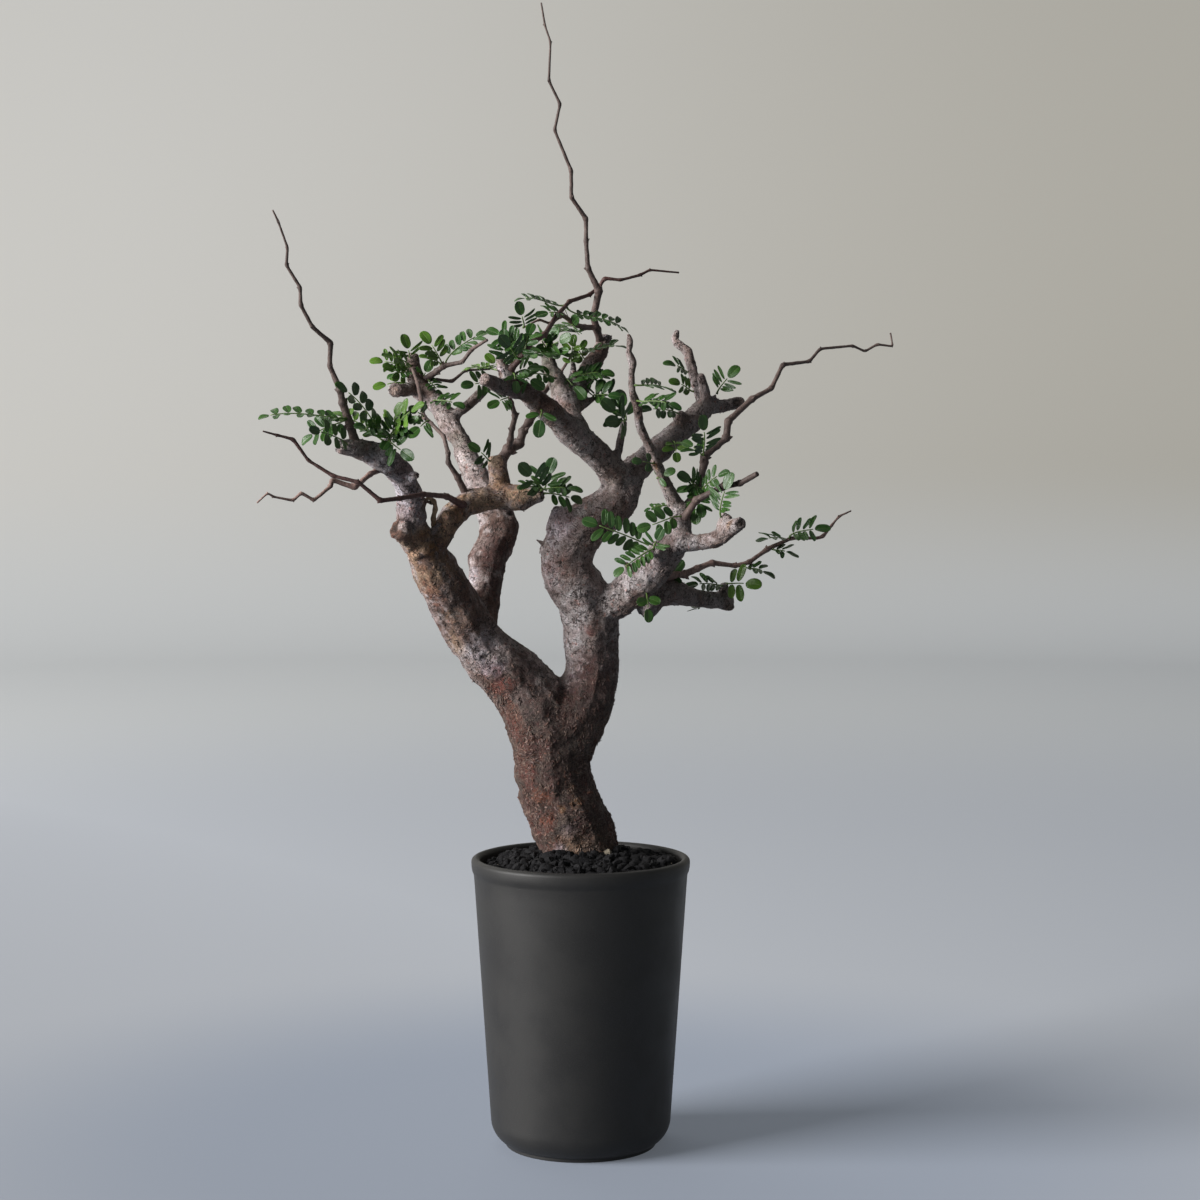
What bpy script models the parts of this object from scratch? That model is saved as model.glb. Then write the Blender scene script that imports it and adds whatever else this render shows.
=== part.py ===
"""A bonsai tree with small compound leaves, planted in a tapered round pot.

Metres, +Z up. The origin is the middle of the pot's flat foot, and -Y is the tree's front.
Routes and sizes in the tables below are in millimetres.
"""

import math

import bmesh
import bpy
from mathutils import Vector
from mathutils.bvhtree import BVHTree

MM = 0.001
GAP = 0.3  # clear space between two solids that touch on the real plant
SOCKET_GAP = 0.4  # the same around the wood, whose neighbours are cut to its shape

POT_HEIGHT = 159.0
RIM_RADIUS = 60.0
WALL_RADIUS_TOP = 58.6  # outside, just under the lip
WALL_RADIUS_LOW = 49.6  # outside, where the bottom corner begins
LIP_HEIGHT = 9.0
CORNER_RADIUS = 15.0
FOOT_RADIUS = 41.5
FOOT_HEIGHT = 2.0
FLOOR_THICKNESS = 8.0
BORE_RADIUS_TOP = 55.3
BORE_RADIUS_LOW = 44.5
BORE_CORNER = 4.0
POT_STEPS = 40
DRAIN_HOLES = 3
DRAIN_HOLE_RADIUS = 4.5
DRAIN_RING_RADIUS = 24.0

SOIL_EDGE_HEIGHT = 152.5
SOIL_CROWN_HEIGHT = 161.5
SOIL_STEPS = 32

TREE_MIDDLE = (0.0, 8.0)
ROOTS = 4
ROOT_RADIUS = 5.0
ROOT_ROUTE = [(0, 140, 1.0), (22, 132, 1.0), (34, 114, 0.5)]  # out from the trunk, height, thickness

WOOD_VOXEL = 1.2
WOOD_SMOOTHING = 3
WOOD_TRIANGLES = 4800

LEAF_THICKNESS = 0.5
RACHIS_HALF_WIDTH = 0.45
LEAFLET_WIDTH = 0.6  # of its length
LEAFLET_OUTLINE = [(0.35, -0.46), (0.88, -0.36), (0.88, 0.36), (0.35, 0.46)]  # along, across
LEAFLET_CROWDING = 0.86  # widest leaflet, as a share of the space between two pairs
LEAFLET_SWEEP = math.radians(24)  # how far a leaflet leans towards the leaf's tip
LEAFLET_LIFT = math.radians(14)  # how far each side folds up
BARE_STALK = 0.24  # share of the leaf's length below its first pair
LEAF_ARCH = 0.10  # rise of the leaf's middle, as a share of its length

# Thick wood that grew as one piece. Each limb is a route of (x, y, z, radius).
LIMBS = {
    "trunk": [
        (0, 8, 108, 9), (0, 8, 128, 18), (0, 8, 149, 22.5), (-1, 8, 164, 22), (-8, 7, 181, 22),
        (-14, 7, 197, 21), (-16, 6, 211, 20.5), (-17, 5, 224, 21.5), (-18, 4, 236, 20),
    ],
    "left_limb": [
        (-17, 5, 220, 20.5), (-23, 4, 238, 20.5), (-35, 2, 256, 17.5), (-54, -5, 275, 15.5),
        (-66.5, -14, 296.5, 14.5), (-78.5, -26, 318.5, 12.5), (-84, -32, 331.5, 9),
    ],
    "right_limb": [
        (-15, 6, 217, 20), (-7, 8, 233, 22), (4, 9, 250, 16.5), (7, 8, 265, 15), (6, 6, 278, 15.5),
        (0, 0, 304, 15.5), (-7, -3, 318, 14), (-6, -3, 328, 15), (1, -2, 338, 14), (11, -1, 346, 12.5),
        (20, 2, 356, 11), (22, 4, 363, 10),
    ],
    "head_stub": [(-8, -4, 330, 11), (-9, -5, 341, 9.5), (-8, -6, 351, 7.5)],
    "head_knob": [(-14, -6, 326, 5.5), (-20, -8, 330, 4.5)],
    "head_thorn": [(-18, -9, 330, 2), (-26, -12, 334.5, 0.8)],
    "second_limb": [
        (-55, 1, 284, 10), (-53, 11, 305, 9.5), (-51, 19, 321, 10), (-45, 25, 336, 10.5),
        (-49.5, 28, 351, 9), (-55.5, 31, 362, 7.5), (-62.5, 37, 375, 7), (-67.5, 46, 387, 6),
        (-74, 52, 397, 6.5), (-80, 57, 406.5, 6), (-87, 62, 412.5, 5.5), (-93.5, 66, 418.5, 5.5),
        (-96.5, 69, 427.5, 5), (-96.5, 72, 436, 4),
    ],
    "second_stub": [(-93.5, 65, 417.5, 4), (-99, 54, 415.5, 3.8), (-106, 46, 415.5, 3.5)],
    "second_side": [(-73, 52, 400.5, 4), (-66, 54, 405.5, 3.5), (-58, 63, 413.5, 3), (-49, 72, 422.5, 2.8)],
    "cross_limb": [
        (-80, -32, 327.5, 7), (-76, -32, 332.5, 6.5), (-71.5, -30, 341.5, 6), (-66.5, -25, 348, 6),
        (-60.5, -21, 353, 6.5), (-51.5, -17, 355, 6.5), (-40.5, -15, 356, 6.5), (-30, -17, 356, 6),
        (-19, -20, 358, 4),
    ],
    "cross_knob": [(-69, -33, 344.5, 4), (-71, -40, 347.5, 2.5)],
    "cross_stub": [(-43.5, -15, 356, 6), (-44, -12, 366, 5.5), (-45, -9, 378, 5)],
    "hook": [(-78, -33, 353, 1.6), (-83, -40, 354, 1.4), (-81, -44, 344.5, 1.3)],
    "front_stub": [(-87, -35, 330.5, 6), (-94.5, -50, 339.5, 5)],
    "left_grey": [
        (-83, -35, 327.5, 8.5), (-89, -40, 343.5, 7.5), (-90, -44, 355, 7), (-91.5, -50, 364, 6.5),
        (-94.5, -56, 371, 7), (-100, -62, 376, 6.5), (-108, -67, 380, 6.5), (-115.5, -75, 382, 5),
        (-124, -80, 383, 3.8),
    ],
    "left_grey_knob": [(-90.5, -56, 366, 3), (-83.5, -63, 369, 2)],
    "left_grey_stub": [(-101, -63, 377, 3), (-99, -67, 389.5, 2.2)],
    "crown_left": [
        (21, 2, 362, 10), (18, -2, 369, 9), (11, -9, 377, 8), (2, -17, 385, 7.5), (-7, -25, 393, 7.5),
        (-14.5, -33, 400.5, 7), (-23.5, -41, 407.5, 6.5), (-30.5, -50, 413.5, 5.5), (-36.5, -56, 419.5, 5),
        (-40, -59, 425, 3.5), (-42, -62, 432, 2),
    ],
    "crown_left_stub": [(-31.5, -51, 410.5, 4), (-41, -64, 414.5, 3.8), (-49, -76, 418, 3.5)],
    "crown_left_knot": [(-16.5, -38, 402.5, 4.5), (-13.5, -41, 406.5, 3.5)],
    "upright_grey": [
        (-3, -18, 392, 7), (-9, -6, 408, 6), (-13, 2, 419, 5), (-17, 8, 427, 4.5),
        (-18, 11, 435, 4), (-19, 14, 443, 3.5),
    ],
    "dark_limb": [
        (-8, -15, 399, 6), (-3, 2, 412, 6), (3, 17, 423, 5.5), (9, 25, 432, 5), (12, 31, 439.5, 4.5),
        (14, 34, 445.5, 3.5),
    ],
    "dark_thorn": [(15, 34, 442.5, 1.5), (18.5, 34, 447.5, 0.8)],
    "pointed_stub": [(-4, 7, 414, 3), (-4, 2, 430, 1.5)],
    "brown_stub": [(-6, -12, 400, 3), (-1, -5, 404, 2.2), (8, 2, 410, 1.8)],
    "neck_stub": [(20, -1, 374, 3.5), (21, -4, 383, 2.6), (24, -9, 398, 2.1)],
    "crown_right": [
        (22, 4, 362, 10), (29, 8, 371, 8), (37, 14, 377, 7.5), (44, 22, 383, 7), (53, 31, 391, 6.5),
        (61.5, 40, 398, 6), (69.5, 46, 405.5, 6), (77.5, 52, 406.5, 4.5), (91, 60, 408.5, 3.6),
    ],
    "crown_right_knob": [(57.5, 34, 396, 4.5), (54, 31, 402, 3)],
    "crown_right_stub": [(70.5, 46, 409.5, 4), (68.5, 44, 418.5, 3.2), (66.5, 41, 424.5, 2.6)],
    "crown_right_branch": [
        (68.5, 49, 408.5, 4.5), (65.5, 54, 418.5, 3.5), (62.5, 63, 428.5, 3), (60.5, 69, 438, 3),
        (53.5, 75, 445, 2.5), (55.5, 78, 451, 2),
    ],
    "crown_right_thorn": [(73.5, 49, 409.5, 2.5), (76.5, 50, 414.5, 1.2)],
    "low_right": [
        (-5, 3, 289, 10.5), (5, 2, 294, 10), (17, -2, 299, 10), (28, -8, 307, 10), (38, -16, 316.5, 10),
        (46, -23, 326.5, 8.5), (53.5, -30, 332.5, 6.5), (62.5, -35, 332.5, 4.5), (71.5, -41, 334.5, 5),
        (78, -47, 339.5, 4.5), (85, -53, 343.5, 3),
    ],
    "low_right_knob": [(75, -44, 340.5, 4), (78, -44, 347.5, 3)],
    "ring_stub": [(43.5, -29, 324.5, 5), (39.5, -44, 329.5, 3.8)],
    "low_pointed_stub": [(32, -12, 311, 5), (24, -26, 321.5, 1.5)],
    "tall_neck": [(53.5, -28, 330.5, 7), (53.5, -27, 339.5, 6), (53.5, -25, 351, 6)],
    "tall_twig": [
        (53.5, -25, 347, 4.5), (50.5, -27, 354, 4.3), (46.5, -30, 361, 3.6), (38.5, -37, 380, 3.2),
        (31.5, -44, 394.5, 2.7), (30.5, -49, 403.5, 2.6), (27.5, -53, 411.5, 2.3), (27, -57, 421.5, 2.1),
        (27.5, -59, 427, 2.6), (25.5, -60, 432, 1.9), (26.5, -62, 437, 2.2), (25, -63, 442, 1.5),
    ],
    "right_whip_collar": [(54.5, -25, 346, 4.5), (58.5, -25, 353, 3.6)],
    "right_stub": [
        (33, -5, 297, 8.5), (43, 0, 304, 7.5), (60, 8, 301, 6), (73, 16, 299, 5.2), (80, 21, 299, 6.2),
        (84, 22, 299, 5.8),
    ],
    "right_stub_knob": [(79, 20, 302, 4), (80, 19, 309, 3)],
}

# Young shoots, each its own stem: what it grows from, then its route. Its first point lies
# inside that wood, and its joints are the small kinks where a leaf once grew.
SHOOTS = {
    "left_whip": ("wood", [
        (-114.5, -73, 383, 2.9), (-117.5, -76, 393.5, 2.6), (-121, -80, 405.5, 2.1), (-122, -82, 412, 1.9),
        (-127, -85, 424, 1.3), (-126, -88, 435.5, 1.5), (-134.5, -94, 443, 1.1), (-140, -98, 454, 1.1),
        (-140, -99, 462.5, 1), (-146.5, -102, 473.5, 0.9), (-145.5, -105, 482, 0.7),
        (-149.5, -109, 494.5, 0.6), (-152, -111, 500, 0.5),
    ]),
    "left_low_twig": ("wood", [
        (-62.5, -27, 352, 2.4), (-70, -44, 357, 1.7), (-80.5, -70, 358.5, 1.5), (-91.5, -85, 356.5, 1.3),
        (-101, -91, 355.5, 1.4), (-112, -94, 365, 1.1), (-124.5, -94, 368, 1.1), (-137, -96, 376, 0.9),
        (-144, -99, 386.5, 1), (-151.5, -102, 388.5, 0.7), (-158.5, -105, 390.5, 0.5),
    ]),
    "left_pale_twig": ("wood", [
        (-102, -59, 372, 2.1), (-108, -69, 369, 1.5), (-115.5, -76, 362, 1.6), (-127, -79, 366, 1.3),
        (-127, -80, 363, 1.1), (-135.5, -85, 355.5, 1), (-141.5, -88, 359.5, 0.9), (-145.5, -89, 355.5, 0.8),
        (-155, -94, 357.5, 0.6), (-157.5, -96, 359.5, 0.5), (-162.5, -99, 354.5, 0.5),
    ]),
    "front_brown_twig": ("wood", [
        (-60.5, -20, 356, 2.4), (-65.5, -24, 367, 1.8), (-70.5, -27, 375, 1.4), (-70.5, -24, 380, 1.4),
        (-73.5, -15, 389, 1.2), (-81, -2, 396, 1.2), (-86, 8, 400, 1.4), (-88.5, 25, 410, 1.3),
        (-91.5, 41, 419.5, 1.2), (-95, 50, 427.5, 1),
    ]),
    "left_crown_twig": ("wood", [
        (-91.5, 67, 420.5, 2.3), (-82, 60, 426.5, 1.8), (-78, 57, 429.5, 1.8), (-67, 52, 431.5, 1.2),
        (-61.5, 49, 438.5, 1.2), (-52.5, 43, 443.5, 0.9),
    ]),
    "left_crown_side_twig": ("wood", [
        (-92.5, 70, 421.5, 1.4), (-83.5, 76, 422.5, 1), (-74.5, 80, 421.5, 1.1), (-67, 83, 428, 0.9),
        (-53, 89, 429, 0.7),
    ]),
    "middle_branchlet": ("wood", [
        (-44, -9, 374, 3.5), (-39, -8, 382, 3.2), (-33, -5, 385, 2.7), (-31, -2, 392, 2.5),
        (-28, 2, 397, 2.4), (-25, 5, 402, 2.3), (-22, 14, 411, 1.9), (-16, 25, 419, 1.6),
        (-11, 25, 425, 1), (-4, 14, 435, 0.7),
    ]),
    "middle_branchlet_side": ("middle_branchlet", [
        (-39, -8, 382, 2.2), (-37.5, -17, 387, 1.8), (-36.5, -21, 393, 1.6), (-34.5, -27, 400, 1.7),
        (-36.5, -33, 406.5, 1.4), (-37.5, -37, 410.5, 1.2),
    ]),
    "top_whip": ("wood", [
        (11, 31, 440.5, 2.3), (9, 25, 448.5, 2.3), (7, 22, 455, 2.1), (10, 17, 469, 2.2),
        (4, 14, 481, 1.6), (3, 14, 496, 1.3), (3, 14, 508, 1.4), (-5, 8, 519, 1.2),
        (-5, 5, 533, 1.1), (-14, 2, 554.5, 0.9), (-11, 2, 568.5, 0.9), (-17, -1, 580.5, 0.8),
        (-16, -4, 600.5, 0.6), (-19, -4, 609.5, 0.6), (-21, -4, 621.5, 0.5),
    ]),
    "crossing_shoot": ("wood", [
        (-36, -59, 423, 2.1), (-29.5, -62, 430, 1.9), (-26.5, -56, 436, 1.8), (-18.5, -41, 442, 1.6),
        (-13, -21, 452.5, 1.4), (-6, -1, 462, 1.3), (5, 18, 467, 1.2), (10, 25, 471.5, 1.2),
        (13, 25, 476.5, 1.2), (22, 25, 475.5, 0.9), (33, 28, 478.5, 0.9), (38, 31, 481.5, 0.7),
        (54.5, 37, 480.5, 0.6),
    ]),
    "pink_twig": ("top_whip", [
        (8.5, 25, 449.5, 1.8), (2, 17, 449, 1.7), (-3, 9, 450, 1.6), (-10, -1, 455, 1.4),
        (-16, -8, 449.5, 0.9), (-22, -15, 451.5, 0.7), (-30.5, -24, 446.5, 0.6),
    ]),
    "right_whip": ("wood", [
        (57.5, -25, 351, 3), (63.5, -24, 362, 2.4), (66.5, -21, 375, 2.3), (66.5, -21, 378, 2.3),
        (73.5, -18, 384, 2.1), (78.5, -17, 388, 2.3), (79.5, -15, 397, 2.1), (92.5, -9, 409, 1.8),
        (103.5, -4, 415, 1.4), (110, 2, 428, 1.3), (125, 8, 430, 1), (131, 11, 437, 0.9),
        (149.5, 17, 439, 0.8), (156.5, 20, 436, 0.7), (163.5, 22, 440, 0.8), (172.5, 25, 439, 0.6),
        (171.5, 28, 446.5, 0.5),
    ]),
    "short_right_twig": ("wood", [
        (55.5, -33, 345.5, 2.3), (61.5, -40, 355, 2.1), (75, -46, 362, 1.8), (84, -51, 364, 1.7),
        (92.5, -59, 369, 1.6),
    ]),
    "lower_right_twig": ("wood", [
        (46, -3, 313, 2.7), (57, 2, 314, 2.3), (64, 5, 317, 1.9), (72, 8, 320, 1.7),
        (85, 14, 318, 1.4), (93, 16, 320, 1.3), (103, 19, 327, 1.5), (116.5, 22, 333, 1.1),
        (131.5, 25, 333, 0.9), (134.5, 25, 334, 1.1), (139.5, 28, 340, 0.8), (143.5, 28, 345, 0.7),
        (150.5, 31, 348, 0.5),
    ]),
}

YOUNG = "young_leaf"
GROWN = "grown_leaf"

# Compound leaves: where the stalk meets its stem, the leaf's tip, how many pairs of leaflets,
# a leaflet's length, and the tilt from facing the front (0) to facing up (90).
LEAVES = [
    ((-119, -85, 396), (-162, -95, 399), 6, 6, 65, GROWN),
    ((-115, -90, 387), (-133, -108, 392), 3, 7, 40, GROWN),
    ((-120, -82, 396), (-143, -82, 386), 4, 8, 35, GROWN),
    ((-102, -72, 390), (-122, -87, 416), 5, 8, 60, GROWN),
    ((-103, -64, 387), (-129, -58, 403), 5, 8, 55, YOUNG),
    ((-95, -68, 390), (-82, -86, 406), 3, 9, 60, YOUNG),
    ((-97, -71, 385), (-87, -84, 378), 2, 9, 0, GROWN),
    ((-83, -1, 398), (-92, -11, 390), 2, 9, 10, GROWN),
    ((-98, 66, 435), (-100, 62, 447), 2, 9, 20, YOUNG),
    ((-100, 66, 429), (-119, 58, 434), 4, 8, 40, GROWN),
    ((-79, 57, 432), (-89, 53, 449), 3, 9, 30, YOUNG),
    ((-77, 57, 432), (-54, 67, 452), 5, 9, 45, GROWN),
    ((-84, 52, 410), (-66, 40, 408), 4, 8, 55, GROWN),
    ((-51, 65, 421), (-66, 52, 419), 3, 8, 10, GROWN),
    ((-37, -41, 408), (-47, -49, 405), 4, 8, 20, GROWN),
    ((-43, -56, 423), (-62, -50, 425), 5, 6, 75, YOUNG),
    ((-47, -12, 375), (-58, -22, 385), 3, 8, 30, GROWN),
    ((-20, -27, 361), (-30, -39, 373), 3, 10, 15, GROWN),
    ((-17, -20, 362), (-15, -23, 377), 2, 10, 10, GROWN),
    ((-17, -21, 361), (1, -25, 362), 3, 9, 60, GROWN),
    ((-32, -66, 428), (-39, -78, 438), 3, 9, 10, GROWN),
    ((-30, -64, 436), (-48, -60, 445), 4, 8, 20, GROWN),
    ((-8, -4, 460), (-35, -14, 464), 6, 6, 75, GROWN),
    ((-30, -24, 447), (-32, -32, 459), 3, 8, 20, GROWN),
    ((-18, 8, 440), (-15, -2, 446), 2, 10, 30, GROWN),
    ((-7, -6, 457), (27, 0, 447), 7, 6, 60, GROWN),
    ((-4, 11, 435), (-36, -25, 431), 6, 8, 70, GROWN),
    ((-3, 14, 434), (25, 8, 440), 5, 7, 75, GROWN),
    ((-4, 2, 422), (16, 2, 423), 4, 9, 60, GROWN),
    ((8, 4, 411), (26, 8, 413), 3, 9, 20, GROWN),
    ((22, -14, 398), (14, -25, 407), 2, 10, 10, GROWN),
    ((25, -8, 399), (22, -7, 413), 2, 9, 15, GROWN),
    ((29, -56, 415), (51, -44, 414), 5, 8, 65, GROWN),
    ((30, -53, 407), (52, -68, 405), 5, 8, 60, GROWN),
    ((54, 28, 403), (33, 18, 406), 4, 8, 50, GROWN),
    ((29, -33, 338), (0, -43, 347), 4, 11, 10, GROWN),
    ((50, -36, 348), (31, -44, 340), 3, 9, 10, GROWN),
    ((39, -48, 331), (18, -55, 317), 6, 8, 30, GROWN),
    ((81, 14, 308), (97, 2, 309), 2, 10, 20, YOUNG),
    ((115, 21, 334), (136, 12, 341), 4, 9, 50, GROWN),
    ((77, 49, 414), (87, 43, 429), 4, 9, 25, GROWN),
    ((66, -24, 379), (66, -34, 399), 5, 9, 30, GROWN),
    ((73, -47, 347), (77, -55, 369), 6, 10, 50, YOUNG),
]


def clear_scene():
    for obj in list(bpy.data.objects):
        bpy.data.objects.remove(obj, do_unlink=True)


def new_collection(name, helper=False):
    collection = bpy.data.collections.new(name)
    collection.hide_render = helper
    bpy.context.scene.collection.children.link(collection)
    return collection


def new_material(name, colour, roughness):
    material = bpy.data.materials.new(name)
    material.use_nodes = True
    shader = material.node_tree.nodes["Principled BSDF"]
    shader.inputs["Base Color"].default_value = (*colour, 1.0)
    shader.inputs["Roughness"].default_value = roughness
    shader.inputs["Metallic"].default_value = 0.0
    return material


def new_object(name, data, collection, material=None):
    obj = bpy.data.objects.new(name, data)
    collection.objects.link(obj)
    if material:
        data.materials.append(material)
    return obj


def new_helper(name, data, helpers):
    """A cutter or a stand-in: drawn as wire and left out of renders."""
    obj = new_object(name, data, helpers)
    obj.display_type = "WIRE"
    obj.hide_render = True
    return obj


def evaluated_mesh(obj):
    """The object's mesh with its modifiers worked in, in world space."""
    bpy.context.view_layer.update()
    graph = bpy.context.evaluated_depsgraph_get()
    mesh = bpy.data.meshes.new_from_object(obj.evaluated_get(graph))
    mesh.transform(obj.matrix_world)
    return mesh


def settle(obj):
    """Puts the object's modified mesh in place of its modifiers."""
    name = obj.data.name
    mesh = evaluated_mesh(obj)
    obj.modifiers.clear()
    obj.data = mesh
    mesh.name = name


def cut(obj, cutter):
    boolean = obj.modifiers.new("Cut " + cutter.name, "BOOLEAN")
    boolean.operation = "DIFFERENCE"
    boolean.solver = "EXACT"
    boolean.object = cutter


def turned_solid(name, profile, steps, collection, material):
    """A solid turned about the Z axis from a profile of (radius, height) that runs top to bottom."""
    mesh = bpy.data.meshes.new(name)
    bm = bmesh.new()
    verts = [bm.verts.new((radius * MM, 0.0, height * MM)) for radius, height in profile]
    for first, second in zip(verts, verts[1:]):
        bm.edges.new((first, second))
    bm.to_mesh(mesh)
    bm.free()
    obj = new_object(name, mesh, collection, material)
    screw = obj.modifiers.new("Turn", "SCREW")
    screw.axis = "Z"
    screw.steps = steps
    screw.render_steps = steps
    screw.use_merge_vertices = True
    screw.merge_threshold = 0.00001
    screw.use_smooth_shade = True
    settle(obj)
    obj.data.set_sharp_from_angle(angle=math.radians(35))
    return obj


def tube_mesh(name, route, smooth, resolution, grow=0.0):
    """A closed round tube through a route of (x, y, z, radius), with flat ends."""
    curve = bpy.data.curves.new(name, "CURVE")
    curve.dimensions = "3D"
    curve.bevel_depth = MM
    curve.bevel_resolution = resolution
    curve.resolution_u = 5
    curve.use_fill_caps = True
    spline = curve.splines.new("BEZIER" if smooth else "POLY")
    points = spline.bezier_points if smooth else spline.points
    points.add(len(route) - 1)
    for point, (x, y, z, radius) in zip(points, route):
        place = Vector((x, y, z)) * MM
        point.radius = radius + grow
        if smooth:
            point.co = place
            point.handle_left_type = "AUTO"
            point.handle_right_type = "AUTO"
        else:
            point.co = (*place, 1.0)
    obj = bpy.data.objects.new(name, curve)
    bpy.context.scene.collection.objects.link(obj)
    mesh = evaluated_mesh(obj)
    bpy.data.objects.remove(obj, do_unlink=True)
    bpy.data.curves.remove(curve)
    bm = bmesh.new()
    bm.from_mesh(mesh)
    bmesh.ops.remove_doubles(bm, verts=bm.verts, dist=0.01 * MM)
    bmesh.ops.recalc_face_normals(bm, faces=bm.faces)
    bm.to_mesh(mesh)
    bm.free()
    return mesh


def joined_mesh(name, meshes):
    bm = bmesh.new()
    for mesh in meshes:
        bm.from_mesh(mesh)
    joined = bpy.data.meshes.new(name)
    bm.to_mesh(joined)
    bm.free()
    return joined


def corner_arc(middle, radius, start, end, steps):
    """Points of an arc in the profile plane, from one angle to another in degrees."""
    angles = [math.radians(start + (end - start) * step / steps) for step in range(steps + 1)]
    return [(middle[0] + radius * math.cos(a), middle[1] + radius * math.sin(a)) for a in angles]


def pot_profile():
    lip_base = POT_HEIGHT - LIP_HEIGHT
    inside = [
        (0.0, FLOOR_THICKNESS),
        (BORE_RADIUS_LOW - BORE_CORNER, FLOOR_THICKNESS),
        (BORE_RADIUS_LOW, FLOOR_THICKNESS + BORE_CORNER),
        (BORE_RADIUS_TOP, POT_HEIGHT - 3.0),
    ]
    rim = [
        (BORE_RADIUS_TOP + 0.5, POT_HEIGHT - 1.0),
        (BORE_RADIUS_TOP + 2.0, POT_HEIGHT),
        (RIM_RADIUS - 1.2, POT_HEIGHT - 0.3),
        (RIM_RADIUS, POT_HEIGHT - 2.2),
        (RIM_RADIUS - 0.3, POT_HEIGHT - 5.0),
        (WALL_RADIUS_TOP, lip_base),
    ]
    corner = corner_arc((WALL_RADIUS_LOW - CORNER_RADIUS, CORNER_RADIUS), CORNER_RADIUS, 0, -60, 4)
    foot = [(FOOT_RADIUS, FOOT_HEIGHT), (FOOT_RADIUS, 0.0), (0.0, 0.0)]
    return inside + rim + corner + foot


def bore_radius(height):
    """The pot's inner radius at a height on its straight wall."""
    low = FLOOR_THICKNESS + BORE_CORNER
    share = (height - low) / (POT_HEIGHT - 3.0 - low)
    return BORE_RADIUS_LOW + (BORE_RADIUS_TOP - BORE_RADIUS_LOW) * share


def make_pot(parts, helpers):
    clay = new_material("dark_clay", (0.055, 0.052, 0.048), 0.62)
    pot = turned_solid("pot", pot_profile(), POT_STEPS, parts, clay)
    drills = []
    for hole in range(DRAIN_HOLES):
        angle = 2 * math.pi * (hole + 0.25) / DRAIN_HOLES
        bm = bmesh.new()
        bmesh.ops.create_cone(
            bm, cap_ends=True, segments=16, depth=4 * FLOOR_THICKNESS * MM,
            radius1=DRAIN_HOLE_RADIUS * MM, radius2=DRAIN_HOLE_RADIUS * MM,
        )
        offset = Vector((math.cos(angle), math.sin(angle), 0.0)) * DRAIN_RING_RADIUS * MM
        bmesh.ops.translate(bm, verts=bm.verts, vec=offset)
        mesh = bpy.data.meshes.new("drain_drill")
        bm.to_mesh(mesh)
        bm.free()
        drills.append(mesh)
    cut(pot, new_helper("drain_drills", joined_mesh("drain_drills", drills), helpers))
    settle(pot)
    return pot


def make_wood(parts):
    """Trunk, limbs and stubs as one grown solid: overlapping tubes fused by a voxel remesh."""
    bark = new_material("bark", (0.26, 0.19, 0.16), 0.85)
    tubes = [tube_mesh(name, route, True, 4) for name, route in LIMBS.items()]
    for root in range(ROOTS):
        angle = 2 * math.pi * (root + 0.4) / ROOTS
        route = []
        for reach, height, thickness in ROOT_ROUTE:
            x = TREE_MIDDLE[0] + reach * math.cos(angle)
            y = TREE_MIDDLE[1] + reach * math.sin(angle)
            route.append((x, y, height, thickness * ROOT_RADIUS))
        tubes.append(tube_mesh("root", route, True, 3))
    wood = new_object("trunk_and_limbs", joined_mesh("trunk_and_limbs", tubes), parts, bark)
    remesh = wood.modifiers.new("Fuse", "REMESH")
    remesh.mode = "VOXEL"
    remesh.voxel_size = WOOD_VOXEL * MM
    smooth = wood.modifiers.new("Soften", "SMOOTH")
    smooth.factor = 0.5
    smooth.iterations = WOOD_SMOOTHING
    settle(wood)
    thin = wood.modifiers.new("Thin", "DECIMATE")
    thin.ratio = WOOD_TRIANGLES / (2 * len(wood.data.polygons))
    thin.use_collapse_triangulate = True
    settle(wood)
    wood.data.shade_smooth()
    return wood


def swollen_wood(wood, helpers):
    """A copy of the wood, larger by the socket gap all over, to cut its neighbours with."""
    swollen = new_helper("swollen_wood", wood.data.copy(), helpers)
    displace = swollen.modifiers.new("Swell", "DISPLACE")
    displace.strength = SOCKET_GAP * MM
    displace.mid_level = 0.0
    settle(swollen)
    return swollen


def make_soil(parts, swollen):
    grit = new_material("soil_grit", (0.05, 0.042, 0.036), 0.95)
    floor = FLOOR_THICKNESS + GAP
    profile = [
        (0.0, SOIL_CROWN_HEIGHT),
        (20.0, SOIL_CROWN_HEIGHT - 0.5),
        (34.0, SOIL_CROWN_HEIGHT - 3.0),
        (47.0, SOIL_EDGE_HEIGHT + 2.2),
        (bore_radius(SOIL_EDGE_HEIGHT) - GAP, SOIL_EDGE_HEIGHT),
        (BORE_RADIUS_LOW - GAP, floor + BORE_CORNER),
        (BORE_RADIUS_LOW - BORE_CORNER - GAP, floor),
        (0.0, floor),
    ]
    soil = turned_solid("soil", profile, SOIL_STEPS, parts, grit)
    cut(soil, swollen)
    settle(soil)
    return soil


def make_shoots(parts, helpers, swollen):
    stem = new_material("young_stem", (0.16, 0.10, 0.08), 0.75)
    cutters = {"wood": swollen}
    shoots = []
    for name, (parent, route) in SHOOTS.items():
        shoot = new_object(name, tube_mesh(name, route, False, 1), parts, stem)
        cut(shoot, cutters[parent])
        settle(shoot)
        shoot.data.shade_smooth()
        cutters[name] = new_helper("swollen_" + name, tube_mesh(name, route, False, 1, GAP), helpers)
        shoots.append(shoot)
    return shoots


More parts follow.
